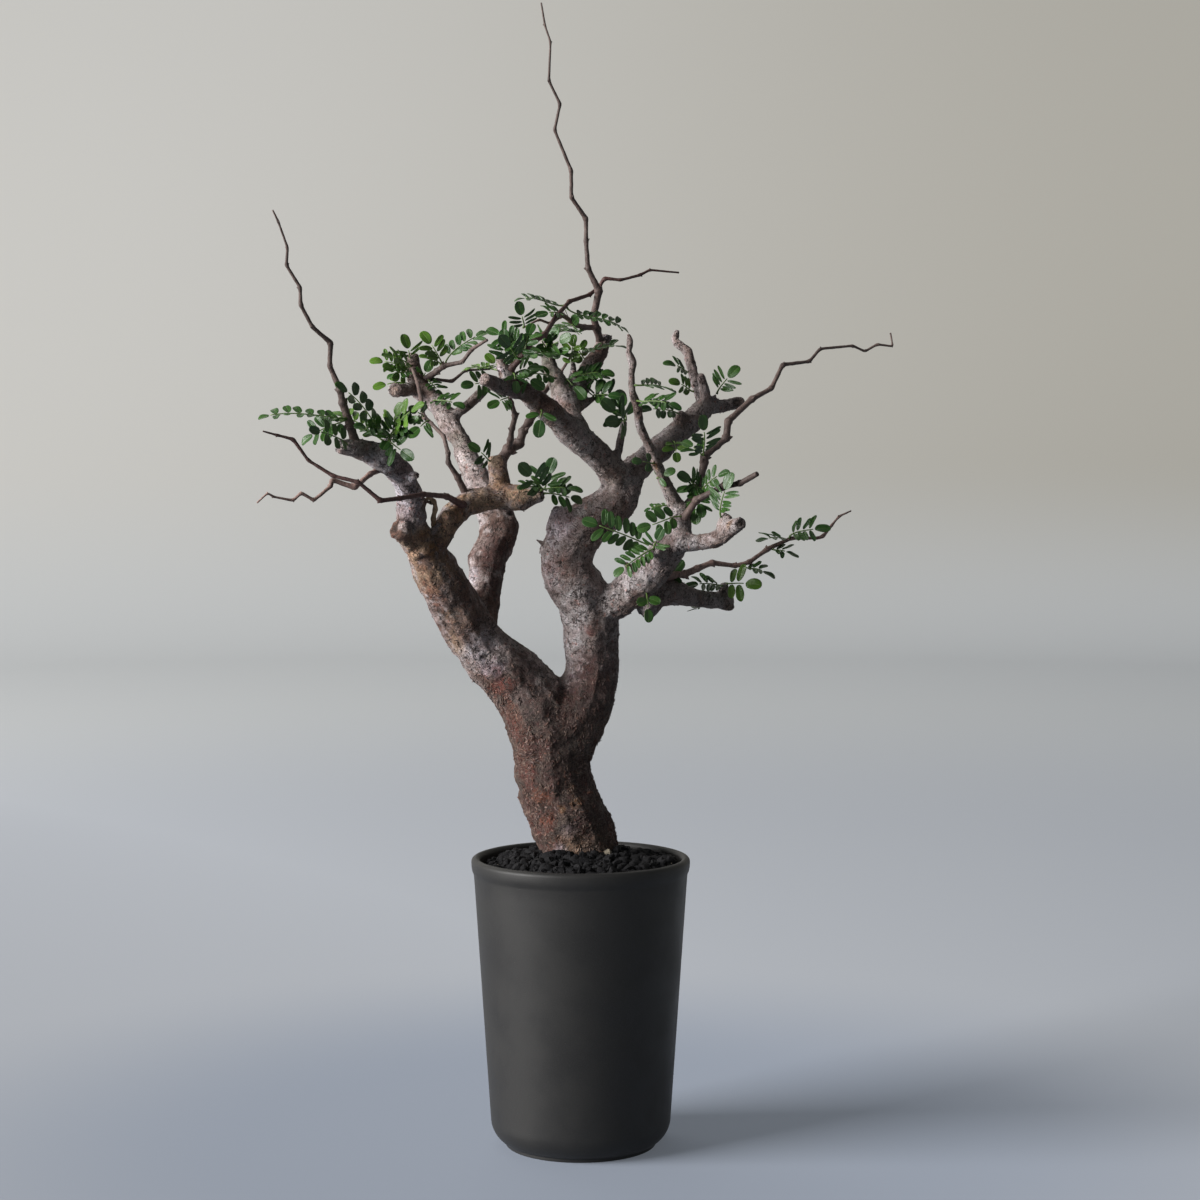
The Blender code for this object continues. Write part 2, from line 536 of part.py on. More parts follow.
def leaf_frame(direction, tilt):
    """The way a leaf's upper face looks: at the front for tilt 0, up for tilt 90."""
    front = Vector((0, -1, 0)) - direction * direction.dot(Vector((0, -1, 0)))
    front.normalize()
    up = direction.cross(front)
    if up.z < 0:
        up.negate()
    return front * math.cos(math.radians(tilt)) + up * math.sin(math.radians(tilt))


def bezier(points, share):
    a, b, c, d = points
    rest = 1 - share
    return a * rest**3 + b * 3 * rest**2 * share + c * 3 * rest * share**2 + d * share**3


def leaflet(bm, first, second, root, along, across, length, width):
    """An oblong leaflet that grows from the rachis edge between two vertices."""
    outer = []
    for share_along, share_across in LEAFLET_OUTLINE:
        place = root + along * (length * share_along) + across * (width * share_across)
        outer.append(bm.verts.new(place))
    bm.faces.new([first, *outer, second])


def leaf_mesh(name, stem_surface, base, tip, pairs, size, tilt):
    """One compound leaf as a flat sheet: a narrow rachis with pairs of leaflets and one at its end."""
    place, outward, _, _ = stem_surface.find_nearest(Vector(base) * MM)
    start = place / MM + outward * GAP
    tip = Vector(tip)
    direction = (tip - start).normalized()
    face = leaf_frame(direction, tilt)
    reach = (tip - start).length
    end = tip - direction * (0.9 * size)
    length = (end - start).length
    rise = face * (LEAF_ARCH * length)
    bend = start + (outward + direction) * (0.16 * length)
    route = [start, bend, start + (end - start) * 0.62 + rise, end]
    step = (1 - BARE_STALK) / pairs
    width = min(LEAFLET_WIDTH * size, LEAFLET_CROWDING * step * length)
    edge = 0.14 * step
    shares = [0.0]
    for pair in range(pairs):
        middle = BARE_STALK + step * (pair + 0.35)
        shares += [middle - edge, middle + edge]
    shares.append(1.0)
    bm = bmesh.new()
    rails = []
    for share in shares:
        centre = bezier(route, share)
        ahead = (bezier(route, share + 0.01) - centre).normalized()
        side = ahead.cross(face).normalized()
        left = bm.verts.new((centre - side * RACHIS_HALF_WIDTH) * MM)
        right = bm.verts.new((centre + side * RACHIS_HALF_WIDTH) * MM)
        rails.append((left, right, ahead, side))
    for lower, upper in zip(rails, rails[1:]):
        bm.faces.new([lower[0], lower[1], upper[1], upper[0]])
    for pair in range(pairs):
        lower = rails[1 + 2 * pair]
        upper = rails[2 + 2 * pair]
        ahead = lower[2]
        grow = size * (0.82 + 0.18 * pair / max(1, pairs - 1))
        for rail, sign in ((0, -1), (1, 1)):
            out = lower[3] * (sign * math.cos(LEAFLET_LIFT)) + face * math.sin(LEAFLET_LIFT)
            along = out * math.cos(LEAFLET_SWEEP) + ahead * math.sin(LEAFLET_SWEEP)
            across = (ahead - along * ahead.dot(along)).normalized()
            root = (lower[rail].co + upper[rail].co) / 2
            ends = (lower[rail], upper[rail])
            leaflet(bm, *ends, root, along * MM, across * MM, grow, width)
    left, right, ahead, side = rails[-1]
    root = (left.co + right.co) / 2
    leaflet(bm, left, right, root, ahead * MM, side * MM, 0.9 * size, LEAFLET_WIDTH * size)
    bmesh.ops.recalc_face_normals(bm, faces=bm.faces)
    mesh = bpy.data.meshes.new(name)
    bm.to_mesh(mesh)
    bm.free()
    return mesh


def surface_of(objects):
    joined = joined_mesh("stem_surface", [obj.data for obj in objects])
    bm = bmesh.new()
    bm.from_mesh(joined)
    tree = BVHTree.FromBMesh(bm)
    bm.free()
    bpy.data.meshes.remove(joined)
    return tree


def make_leaves(parts, stems):
    greens = {
        GROWN: new_material(GROWN, (0.03, 0.12, 0.02), 0.4),
        YOUNG: new_material(YOUNG, (0.13, 0.28, 0.03), 0.45),
    }
    stem_surface = surface_of(stems)
    for number, (base, tip, pairs, size, tilt, age) in enumerate(LEAVES, start=1):
        name = f"leaf_{number:02d}"
        mesh = leaf_mesh(name, stem_surface, base, tip, pairs, size, tilt)
        leaf = new_object(name, mesh, parts, greens[age])
        thicken = leaf.modifiers.new("Thickness", "SOLIDIFY")
        thicken.thickness = LEAF_THICKNESS * MM
        thicken.offset = 0.0


def main():
    clear_scene()
    parts = new_collection("bonsai_in_pot")
    helpers = new_collection("cutters", helper=True)
    make_pot(parts, helpers)
    wood = make_wood(parts)
    swollen = swollen_wood(wood, helpers)
    make_soil(parts, swollen)
    shoots = make_shoots(parts, helpers, swollen)
    make_leaves(parts, [wood, *shoots])


main()
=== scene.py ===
"""The looks of the bonsai in its pot: bark, shoots, leaves, grit and clay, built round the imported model.

Lengths in the tables and in the mesh code are in millimetres; Blender's own values are in metres.
"""

import itertools
import math

import bpy
import numpy as np
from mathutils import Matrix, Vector
from mathutils.bvhtree import BVHTree


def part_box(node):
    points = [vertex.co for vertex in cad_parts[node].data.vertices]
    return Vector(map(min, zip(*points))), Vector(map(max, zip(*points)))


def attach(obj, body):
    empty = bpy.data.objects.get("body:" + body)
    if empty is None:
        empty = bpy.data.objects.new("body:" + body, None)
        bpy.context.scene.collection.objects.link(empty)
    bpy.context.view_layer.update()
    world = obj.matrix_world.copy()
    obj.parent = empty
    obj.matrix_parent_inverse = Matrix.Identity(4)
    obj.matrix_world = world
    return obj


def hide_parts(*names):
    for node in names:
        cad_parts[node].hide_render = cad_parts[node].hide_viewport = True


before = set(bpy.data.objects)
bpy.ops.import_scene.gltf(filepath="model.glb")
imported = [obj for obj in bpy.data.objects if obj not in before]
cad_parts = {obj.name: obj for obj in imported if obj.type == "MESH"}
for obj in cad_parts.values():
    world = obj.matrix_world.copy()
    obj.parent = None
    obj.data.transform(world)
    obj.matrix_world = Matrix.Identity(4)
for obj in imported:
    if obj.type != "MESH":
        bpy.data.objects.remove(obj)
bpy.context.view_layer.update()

MM = 0.001
BODY = "root"
SEED = 7

CAMERA_PLACE = (0.0106, -1.350, 0.374)
CAMERA_PITCH = math.radians(3.14)
CAMERA_LENS = 74.3
CAMERA_SENSOR = 36.0
WINDOW_PLACE = (-3.65, -1.45, 1.5)
# The lights: place, aim, size, power and colour.
LIGHTS = {
    "window": (WINDOW_PLACE, (0, 0, 0.3), (2.6, 2.4), 345.0, (1.0, 0.985, 0.965)),
    "wall_wash": ((-1.6, 2.6, 4.2), (-1.0, 5.0, 1.4), (3.6, 0.8), 70.0, (1.0, 0.97, 0.90)),
    "side_wash": ((-2.4, -0.6, 3.6), (-5.0, -0.6, 2.0), (0.8, 3.6), 60.0, (1.0, 0.97, 0.94)),
}
WORLD_COLOUR = (0.80, 0.90, 1.0, 1.0)
WORLD_STRENGTH = 0.10
STAGE_RADIUS = 3.4
STAGE_CORNER = 1.6
STAGE_HEIGHT = 5.0
STAGE_TURNS = 96

POT_TURNS = 160
RIM_RADIUS = 60.0
RIM_ROUND_INSIDE = 2.35
RIM_ROUND_OUTSIDE = 2.3
LIP_DEPTH = 9.0
WALL_RADIUS_TOP = 58.6
WALL_RADIUS_LOW = 49.6
CORNER_RADIUS = 15.0
FOOT_RADIUS = 41.5
FOOT_HEIGHT = 2.0
FLOOR_THICKNESS = 8.0
BORE_RADIUS_TOP = 55.3
BORE_RADIUS_LOW = 44.5
DRAIN_HOLES = 3
DRAIN_HOLE_RADIUS = 4.5
DRAIN_RING_RADIUS = 24.0

SOIL_EDGE = 152.5
SOIL_CROWN = 161.5
SOIL_RADIUS = 54.5
BED_RINGS = 43
BED_TURNS = 132
BED_DROP = 1.4
GRAINS = 1500
CRUMBS = 6000
TRUNK_FOOT = (-1.0, 8.0)
TRUNK_FOOT_RADIUS = 19.5

WOOD_VOXEL = 0.72
SMOOTHING_ROUNDS = 14
# Share by which the young bark facing the window is painted lighter: painted light.
WINDOW_SIDE_PAINTED_LIGHT = 0.24
# Share by which the bark on the side away from the window is painted darker: painted shade.
FAR_SIDE_PAINTED_SHADE = 0.36
FLAKES = 5400
FLAKE_ROWS = 5
WARTS = 1500
SHOOT_SIDES = 12
SHOOT_STEP = 0.7
BUD_SIDES = 8
STALK_SIDES = 6
LEAFLET_ROWS = 9
LEAFLET_COLUMNS = 7
LEAFLET_THICKNESS = 0.28
LEAFLET_GROWTH = 1.12
LEAFLET_SWEEP = math.radians(24)
LEAFLET_LIFT = math.radians(14)
BARE_STALK = 0.22
LEAF_ARCH = 0.10

# Bark colours, linear.
# Near-white silver: the colour of painted highlights on the lit limbs and on the window side, over the bark's
# own silvery grey.
SILVER_AND_PAINTED_HIGHLIGHT = (0.95, 0.92, 1.0)
PALE = (0.80, 0.74, 0.74)
GREY = (0.58, 0.49, 0.46)
BROWN = (0.19, 0.094, 0.060)
WINE = (0.110, 0.041, 0.035)
DARK = (0.030, 0.018, 0.014)
RED = (0.32, 0.072, 0.048)
RUST = (0.34, 0.105, 0.05)
OCHRE = (0.50, 0.25, 0.075)
TAN = (0.60, 0.42, 0.27)
SAND = (0.86, 0.60, 0.40)
CUT = (0.34, 0.25, 0.20)
LILAC = (0.76, 0.66, 0.74)
GREEN = (0.16, 0.165, 0.12)
DUST = (0.36, 0.28, 0.26)
# The loose scales' colours, and the share of scales that take each.
SCALE_COLOURS = np.array((CUT, BROWN, DUST, WINE, DARK))
SCALE_SHARES = (0.24, 0.26, 0.20, 0.12, 0.18)

# The thin shoots' routes, as in the model: (x, y, z, radius).
SHOOTS = {
    "left_whip": [
        (-114.5, -73, 383, 2.9), (-117.5, -76, 393.5, 2.6), (-121, -80, 405.5, 2.1), (-122, -82, 412, 1.9),
        (-127, -85, 424, 1.3), (-126, -88, 435.5, 1.5), (-134.5, -94, 443, 1.1), (-140, -98, 454, 1.1),
        (-140, -99, 462.5, 1), (-146.5, -102, 473.5, 0.9), (-145.5, -105, 482, 0.7),
        (-149.5, -109, 494.5, 0.6), (-152, -111, 500, 0.5),
    ],
    "left_low_twig": [
        (-62.5, -27, 352, 2.4), (-70, -44, 357, 1.7), (-80.5, -70, 358.5, 1.5), (-91.5, -85, 356.5, 1.3),
        (-101, -91, 355.5, 1.4), (-112, -94, 365, 1.1), (-124.5, -94, 368, 1.1), (-137, -96, 376, 0.9),
        (-144, -99, 386.5, 1), (-151.5, -102, 388.5, 0.7), (-158.5, -105, 390.5, 0.5),
    ],
    "left_pale_twig": [
        (-102, -59, 372, 2.1), (-108, -69, 369, 1.5), (-115.5, -76, 362, 1.6), (-127, -79, 366, 1.3),
        (-127, -80, 363, 1.1), (-135.5, -85, 355.5, 1), (-141.5, -88, 359.5, 0.9),
        (-145.5, -89, 355.5, 0.8), (-155, -94, 357.5, 0.6), (-157.5, -96, 359.5, 0.5),
        (-162.5, -99, 354.5, 0.5),
    ],
    "front_brown_twig": [
        (-60.5, -20, 356, 2.4), (-65.5, -24, 367, 1.8), (-70.5, -27, 375, 1.4), (-70.5, -24, 380, 1.4),
        (-73.5, -15, 389, 1.2), (-81, -2, 396, 1.2), (-86, 8, 400, 1.4), (-88.5, 25, 410, 1.3),
        (-91.5, 41, 419.5, 1.2), (-95, 50, 427.5, 1),
    ],
    "left_crown_twig": [
        (-91.5, 67, 420.5, 2.3), (-82, 60, 426.5, 1.8), (-78, 57, 429.5, 1.8), (-67, 52, 431.5, 1.2),
        (-61.5, 49, 438.5, 1.2), (-52.5, 43, 443.5, 0.9),
    ],
    "left_crown_side_twig": [
        (-92.5, 70, 421.5, 1.4), (-83.5, 76, 422.5, 1), (-74.5, 80, 421.5, 1.1), (-67, 83, 428, 0.9),
        (-53, 89, 429, 0.7),
    ],
    "middle_branchlet": [
        (-44, -9, 374, 3.5), (-39, -8, 382, 3.2), (-33, -5, 385, 2.7), (-31, -2, 392, 2.5),
        (-28, 2, 397, 2.4), (-25, 5, 402, 2.3), (-22, 14, 411, 1.9), (-16, 25, 419, 1.6), (-11, 25, 425, 1),
        (-4, 14, 435, 0.7),
    ],
    "middle_branchlet_side": [
        (-39, -8, 382, 2.2), (-37.5, -17, 387, 1.8), (-36.5, -21, 393, 1.6), (-34.5, -27, 400, 1.7),
        (-36.5, -33, 406.5, 1.4), (-37.5, -37, 410.5, 1.2),
    ],
    "top_whip": [
        (11, 31, 440.5, 2.3), (9, 25, 448.5, 2.3), (7, 22, 455, 2.1), (10, 17, 469, 2.2), (4, 14, 481, 1.6),
        (3, 14, 496, 1.3), (3, 14, 508, 1.4), (-5, 8, 519, 1.2), (-5, 5, 533, 1.1), (-14, 2, 554.5, 0.9),
        (-11, 2, 568.5, 0.9), (-17, -1, 580.5, 0.8), (-16, -4, 600.5, 0.6), (-19, -4, 609.5, 0.6),
        (-21, -4, 621.5, 0.5),
    ],
    "crossing_shoot": [
        (-36, -59, 423, 2.1), (-29.5, -62, 430, 1.9), (-26.5, -56, 436, 1.8), (-18.5, -41, 442, 1.6),
        (-13, -21, 452.5, 1.4), (-6, -1, 462, 1.3), (5, 18, 467, 1.2), (10, 25, 471.5, 1.2),
        (13, 25, 476.5, 1.2), (22, 25, 475.5, 0.9), (33, 28, 478.5, 0.9), (38, 31, 481.5, 0.7),
        (54.5, 37, 480.5, 0.6),
    ],
    "pink_twig": [
        (8.5, 25, 449.5, 1.8), (2, 17, 449, 1.7), (-3, 9, 450, 1.6), (-10, -1, 455, 1.4),
        (-16, -8, 449.5, 0.9), (-22, -15, 451.5, 0.7), (-30.5, -24, 446.5, 0.6),
    ],
    "right_whip": [
        (57.5, -25, 351, 3), (63.5, -24, 362, 2.4), (66.5, -21, 375, 2.3), (66.5, -21, 378, 2.3),
        (73.5, -18, 384, 2.1), (78.5, -17, 388, 2.3), (79.5, -15, 397, 2.1), (92.5, -9, 409, 1.8),
        (103.5, -4, 415, 1.4), (110, 2, 428, 1.3), (125, 8, 430, 1), (131, 11, 437, 0.9),
        (149.5, 17, 439, 0.8), (156.5, 20, 436, 0.7), (163.5, 22, 440, 0.8), (172.5, 25, 439, 0.6),
        (171.5, 28, 446.5, 0.5),
    ],
    "short_right_twig": [
        (55.5, -33, 345.5, 2.3), (61.5, -40, 355, 2.1), (75, -46, 362, 1.8), (84, -51, 364, 1.7),
        (92.5, -59, 369, 1.6),
    ],
    "lower_right_twig": [
        (46, -3, 313, 2.7), (57, 2, 314, 2.3), (64, 5, 317, 1.9), (72, 8, 320, 1.7), (85, 14, 318, 1.4),
        (93, 16, 320, 1.3), (103, 19, 327, 1.5), (116.5, 22, 333, 1.1), (131.5, 25, 333, 0.9),
        (134.5, 25, 334, 1.1), (139.5, 28, 340, 0.8), (143.5, 28, 345, 0.7), (150.5, 31, 348, 0.5),
    ],
}
# A bent dead twig in the left crotch, only in the looks.
DEAD_TWIG = [
    (-77.5, -31, 340, 1.7), (-78, -36, 345, 1.5), (-76.5, -38, 350, 1.3), (-77, -39, 354.5, 1.2),
    (-80.5, -40, 356.5, 1), (-82.5, -40, 353.5, 0.7),
]
SHOOT_COLOUR = (0.125, 0.085, 0.074)
PINK_SHOOT = (0.34, 0.22, 0.19)
RED_SHOOT = (0.095, 0.042, 0.036)
# The shoots that are not of the common colour.
SHOOT_COLOURS = {
    "left_pale_twig": PINK_SHOOT,
    "pink_twig": PINK_SHOOT,
    "lower_right_twig": PINK_SHOOT,
    "left_low_twig": RED_SHOOT,
    "crossing_shoot": RED_SHOOT,
}

YOUNG = "young_leaf"
GROWN = "grown_leaf"
# Leaf colours: the light and the dark of the upper side, the underside, the rib and stalk.
LEAF_COLOURS = {
    GROWN: ((0.046, 0.122, 0.019), (0.023, 0.076, 0.014), (0.09, 0.155, 0.055), (0.13, 0.21, 0.055)),
    YOUNG: ((0.125, 0.25, 0.026), (0.068, 0.158, 0.018), (0.12, 0.21, 0.06), (0.20, 0.30, 0.09)),
}
# Compound leaves as in the model: the stalk's foot (x, y, z), the tip (x, y, z), pairs of leaflets, a
# leaflet's length, the tilt from facing the front (0) to facing up (90), and the age.
LEAVES = [
    (-119, -85, 396, -162, -95, 399, 6, 6, 65, GROWN), (-115, -90, 387, -133, -108, 392, 3, 7, 40, GROWN),
    (-120, -82, 396, -143, -82, 386, 4, 8, 35, GROWN), (-102, -72, 390, -122, -87, 416, 5, 8, 60, GROWN),
    (-103, -64, 387, -129, -58, 403, 5, 8, 55, YOUNG), (-95, -68, 390, -82, -86, 406, 3, 9, 60, YOUNG),
    (-97, -71, 385, -87, -84, 378, 2, 9, 0, GROWN), (-83, -1, 398, -92, -11, 390, 2, 9, 10, GROWN),
    (-98, 66, 435, -100, 62, 447, 2, 9, 20, YOUNG), (-100, 66, 429, -119, 58, 434, 4, 8, 40, YOUNG),
    (-79, 57, 432, -89, 53, 449, 3, 9, 30, YOUNG), (-77, 57, 432, -54, 67, 452, 5, 9, 45, GROWN),
    (-84, 52, 410, -66, 40, 408, 4, 8, 55, GROWN), (-51, 65, 421, -66, 52, 419, 3, 8, 10, GROWN),
    (-37, -41, 408, -47, -49, 405, 4, 8, 20, GROWN), (-43, -56, 423, -62, -50, 425, 5, 6, 75, YOUNG),
    (-47, -12, 375, -58, -22, 385, 3, 8, 30, GROWN), (-20, -27, 361, -30, -39, 373, 3, 10, 15, GROWN),
    (-17, -20, 362, -15, -23, 377, 2, 10, 10, GROWN), (-17, -21, 361, 1, -25, 362, 3, 9, 60, GROWN),
    (-32, -66, 428, -39, -78, 438, 3, 9, 10, GROWN), (-30, -64, 436, -48, -60, 445, 4, 8, 20, GROWN),
    (-8, -4, 460, -35, -14, 464, 6, 6, 75, GROWN), (-30, -24, 447, -32, -32, 459, 3, 8, 20, GROWN),
    (-18, 8, 440, -15, -2, 446, 2, 10, 30, GROWN), (-7, -6, 457, 27, 0, 447, 7, 6, 60, GROWN),
    (-4, 11, 435, -36, -25, 431, 6, 8, 70, GROWN), (-3, 14, 434, 25, 8, 440, 5, 7, 75, GROWN),
    (-4, 2, 422, 16, 2, 423, 4, 9, 60, GROWN), (8, 4, 411, 26, 8, 413, 3, 9, 20, GROWN),
    (22, -14, 398, 14, -25, 407, 2, 10, 10, GROWN), (25, -8, 399, 22, -7, 413, 2, 9, 15, GROWN),
    (29, -56, 415, 51, -44, 414, 5, 8, 65, GROWN), (30, -53, 407, 52, -68, 405, 5, 8, 60, GROWN),
    (54, 28, 403, 33, 18, 406, 4, 8, 50, GROWN), (29, -33, 338, 2, -45, 345, 6, 9, 12, GROWN),
    (50, -36, 348, 31, -44, 340, 3, 8, 10, GROWN), (39, -48, 331, 18, -55, 317, 6, 7, 30, GROWN),
    (81, 14, 308, 97, 2, 309, 2, 10, 20, YOUNG), (115, 21, 334, 136, 12, 341, 4, 9, 50, GROWN),
    (77, 49, 414, 87, 43, 429, 4, 9, 25, GROWN), (66, -24, 379, 66, -34, 399, 5, 9, 30, GROWN),
    (73, -47, 347, 77, -55, 369, 6, 10, 50, GROWN),
]
# Small leaves that the model leaves out.
SMALL_LEAVES = [
    (-97, -79, 391, -88, -75, 400, 3, 9, 10, GROWN), (-99, -73, 391, -114, -63, 393, 3, 6, 50, GROWN),
    (-86, 5, 401, -91, -7, 404, 2, 7, 10, GROWN), (-101, 60, 424, -110, 50, 430, 2, 7, 30, YOUNG),
    (-101, 60, 422, -117, 52, 419, 1, 8, 50, YOUNG), (-80, 57, 431, -90, 49, 436, 3, 6, 50, YOUNG),
    (-90, 66, 424, -86, 58, 431, 1, 8, 0, GROWN), (-87, 63, 422, -78, 57, 412, 3, 7, 50, GROWN),
    (-44, -56, 425, -48, -60, 431, 2, 7, 20, YOUNG), (-19, -24, 361, -32, -36, 363, 3, 7, 75, GROWN),
    (-16, -21, 359, 2, -17, 355, 3, 8, 30, GROWN), (-30, -64, 436, -25, -58, 448, 2, 8, 20, GROWN),
    (-10, -15, 455, -23, -25, 455, 3, 8, 60, GROWN), (-6, 2, 441, -4, -4, 452, 3, 9, 45, GROWN),
    (-4, 28, 434, -6, 20, 443, 2, 6, 20, YOUNG), (-13, -1, 419, -31, -17, 424, 3, 8, 50, GROWN),
    (8, 2, 410, 11, 0, 420, 3, 8, 30, GROWN), (24, -15, 398, 17, -25, 397, 2, 10, 0, GROWN),
    (-20, -44, 402, -22, -52, 390, 1, 10, 10, GROWN), (38, -41, 373, 29, -48, 376, 1, 6, 10, GROWN),
    (42, -33, 367, 49, -39, 371, 1, 7, 10, GROWN), (-37, -62, 427, -39, -66, 443, 3, 9, 10, GROWN),
    (-36, -60, 428, -26, -62, 442, 2, 9, 15, GROWN), (-32, -56, 422, -20, -60, 426, 2, 9, 50, GROWN),
    (-30, -52, 419, -19, -58, 415, 2, 9, 25, GROWN), (-34, -60, 421, -32, -66, 412, 2, 7, 15, GROWN),
    (-18, 0, 440, -7, -8, 443, 1, 9, 15, GROWN), (-18, 0, 438, -23, -6, 444, 2, 6, 20, GROWN),
    (-17, 0, 436, -8, -4, 437, 1, 8, 60, GROWN), (-5, 5, 427, -4, 0, 444, 3, 6, 20, YOUNG),
    (-8, 0, 421, 2, -10, 411, 2, 10, 15, GROWN), (-3, 5, 422, 18, 0, 425, 4, 8, 55, GROWN),
    (5, 10, 424, 13, 0, 416, 3, 8, 20, GROWN), (-2, 20, 452, -17, 5, 447, 4, 6, 75, GROWN),
    (0, 15, 444, -16, 0, 445, 4, 6, 75, GROWN), (6, 0, 413, 21, -8, 412, 2, 8, 30, GROWN),
    (-96, 60, 427, -109, 52, 425, 3, 7, 60, GROWN), (-97, 60, 432, -111, 52, 437, 3, 7, 55, YOUNG),
    (-90, -68, 392, -84, -84, 398, 4, 7, 45, GROWN), (-90, -68, 393, -100, -82, 384, 3, 8, 20, GROWN),
    (-88, -66, 392, -93, -76, 405, 3, 8, 35, YOUNG), (-95, -72, 390, -113, -86, 395, 4, 7, 65, GROWN),
    (65, -25, 359, 54, -32, 370, 3, 8, 40, GROWN), (66, -28, 361, 53, -36, 362, 3, 8, 50, GROWN),
    (64, -30, 355, 61, -36, 344, 2, 9, 15, GROWN), (66, -30, 359, 77, -40, 371, 4, 7, 45, GROWN),
    (46, -22, 352, 34, -24, 350, 4, 4, 70, GROWN), (38, -47, 331, 42, -53, 339, 2, 8, 20, GROWN),
    (36, -21, 302, 37, -29, 291, 1, 8, 10, GROWN), (48, 3, 312, 55, -3, 321, 1, 9, 10, GROWN),
    (78, 16, 307, 58, 8, 309, 4, 8, 60, GROWN), (90, 14, 317, 107, 8, 314, 3, 8, 70, GROWN),
    (114, 22, 332, 97, 12, 334, 3, 8, 80, GROWN), (106, 19, 327, 120, 13, 325, 2, 8, 65, GROWN),
    (65, -24, 379, 55, -18, 388, 2, 8, 30, GROWN), (57, 14, 387, 53, 6, 377, 2, 7, 10, YOUNG),
    (63, -27, 361, 54, -35, 369, 4, 8, 30, GROWN), (64, -30, 359, 65, -38, 348, 2, 8, 10, GROWN),
    (61, 60, 426, 48, 52, 433, 3, 8, 60, GROWN), (64, 52, 415, 51, 44, 422, 3, 7, 40, YOUNG),
    (65, 11, 295, 68, 5, 291, 1, 8, 0, GROWN),
]
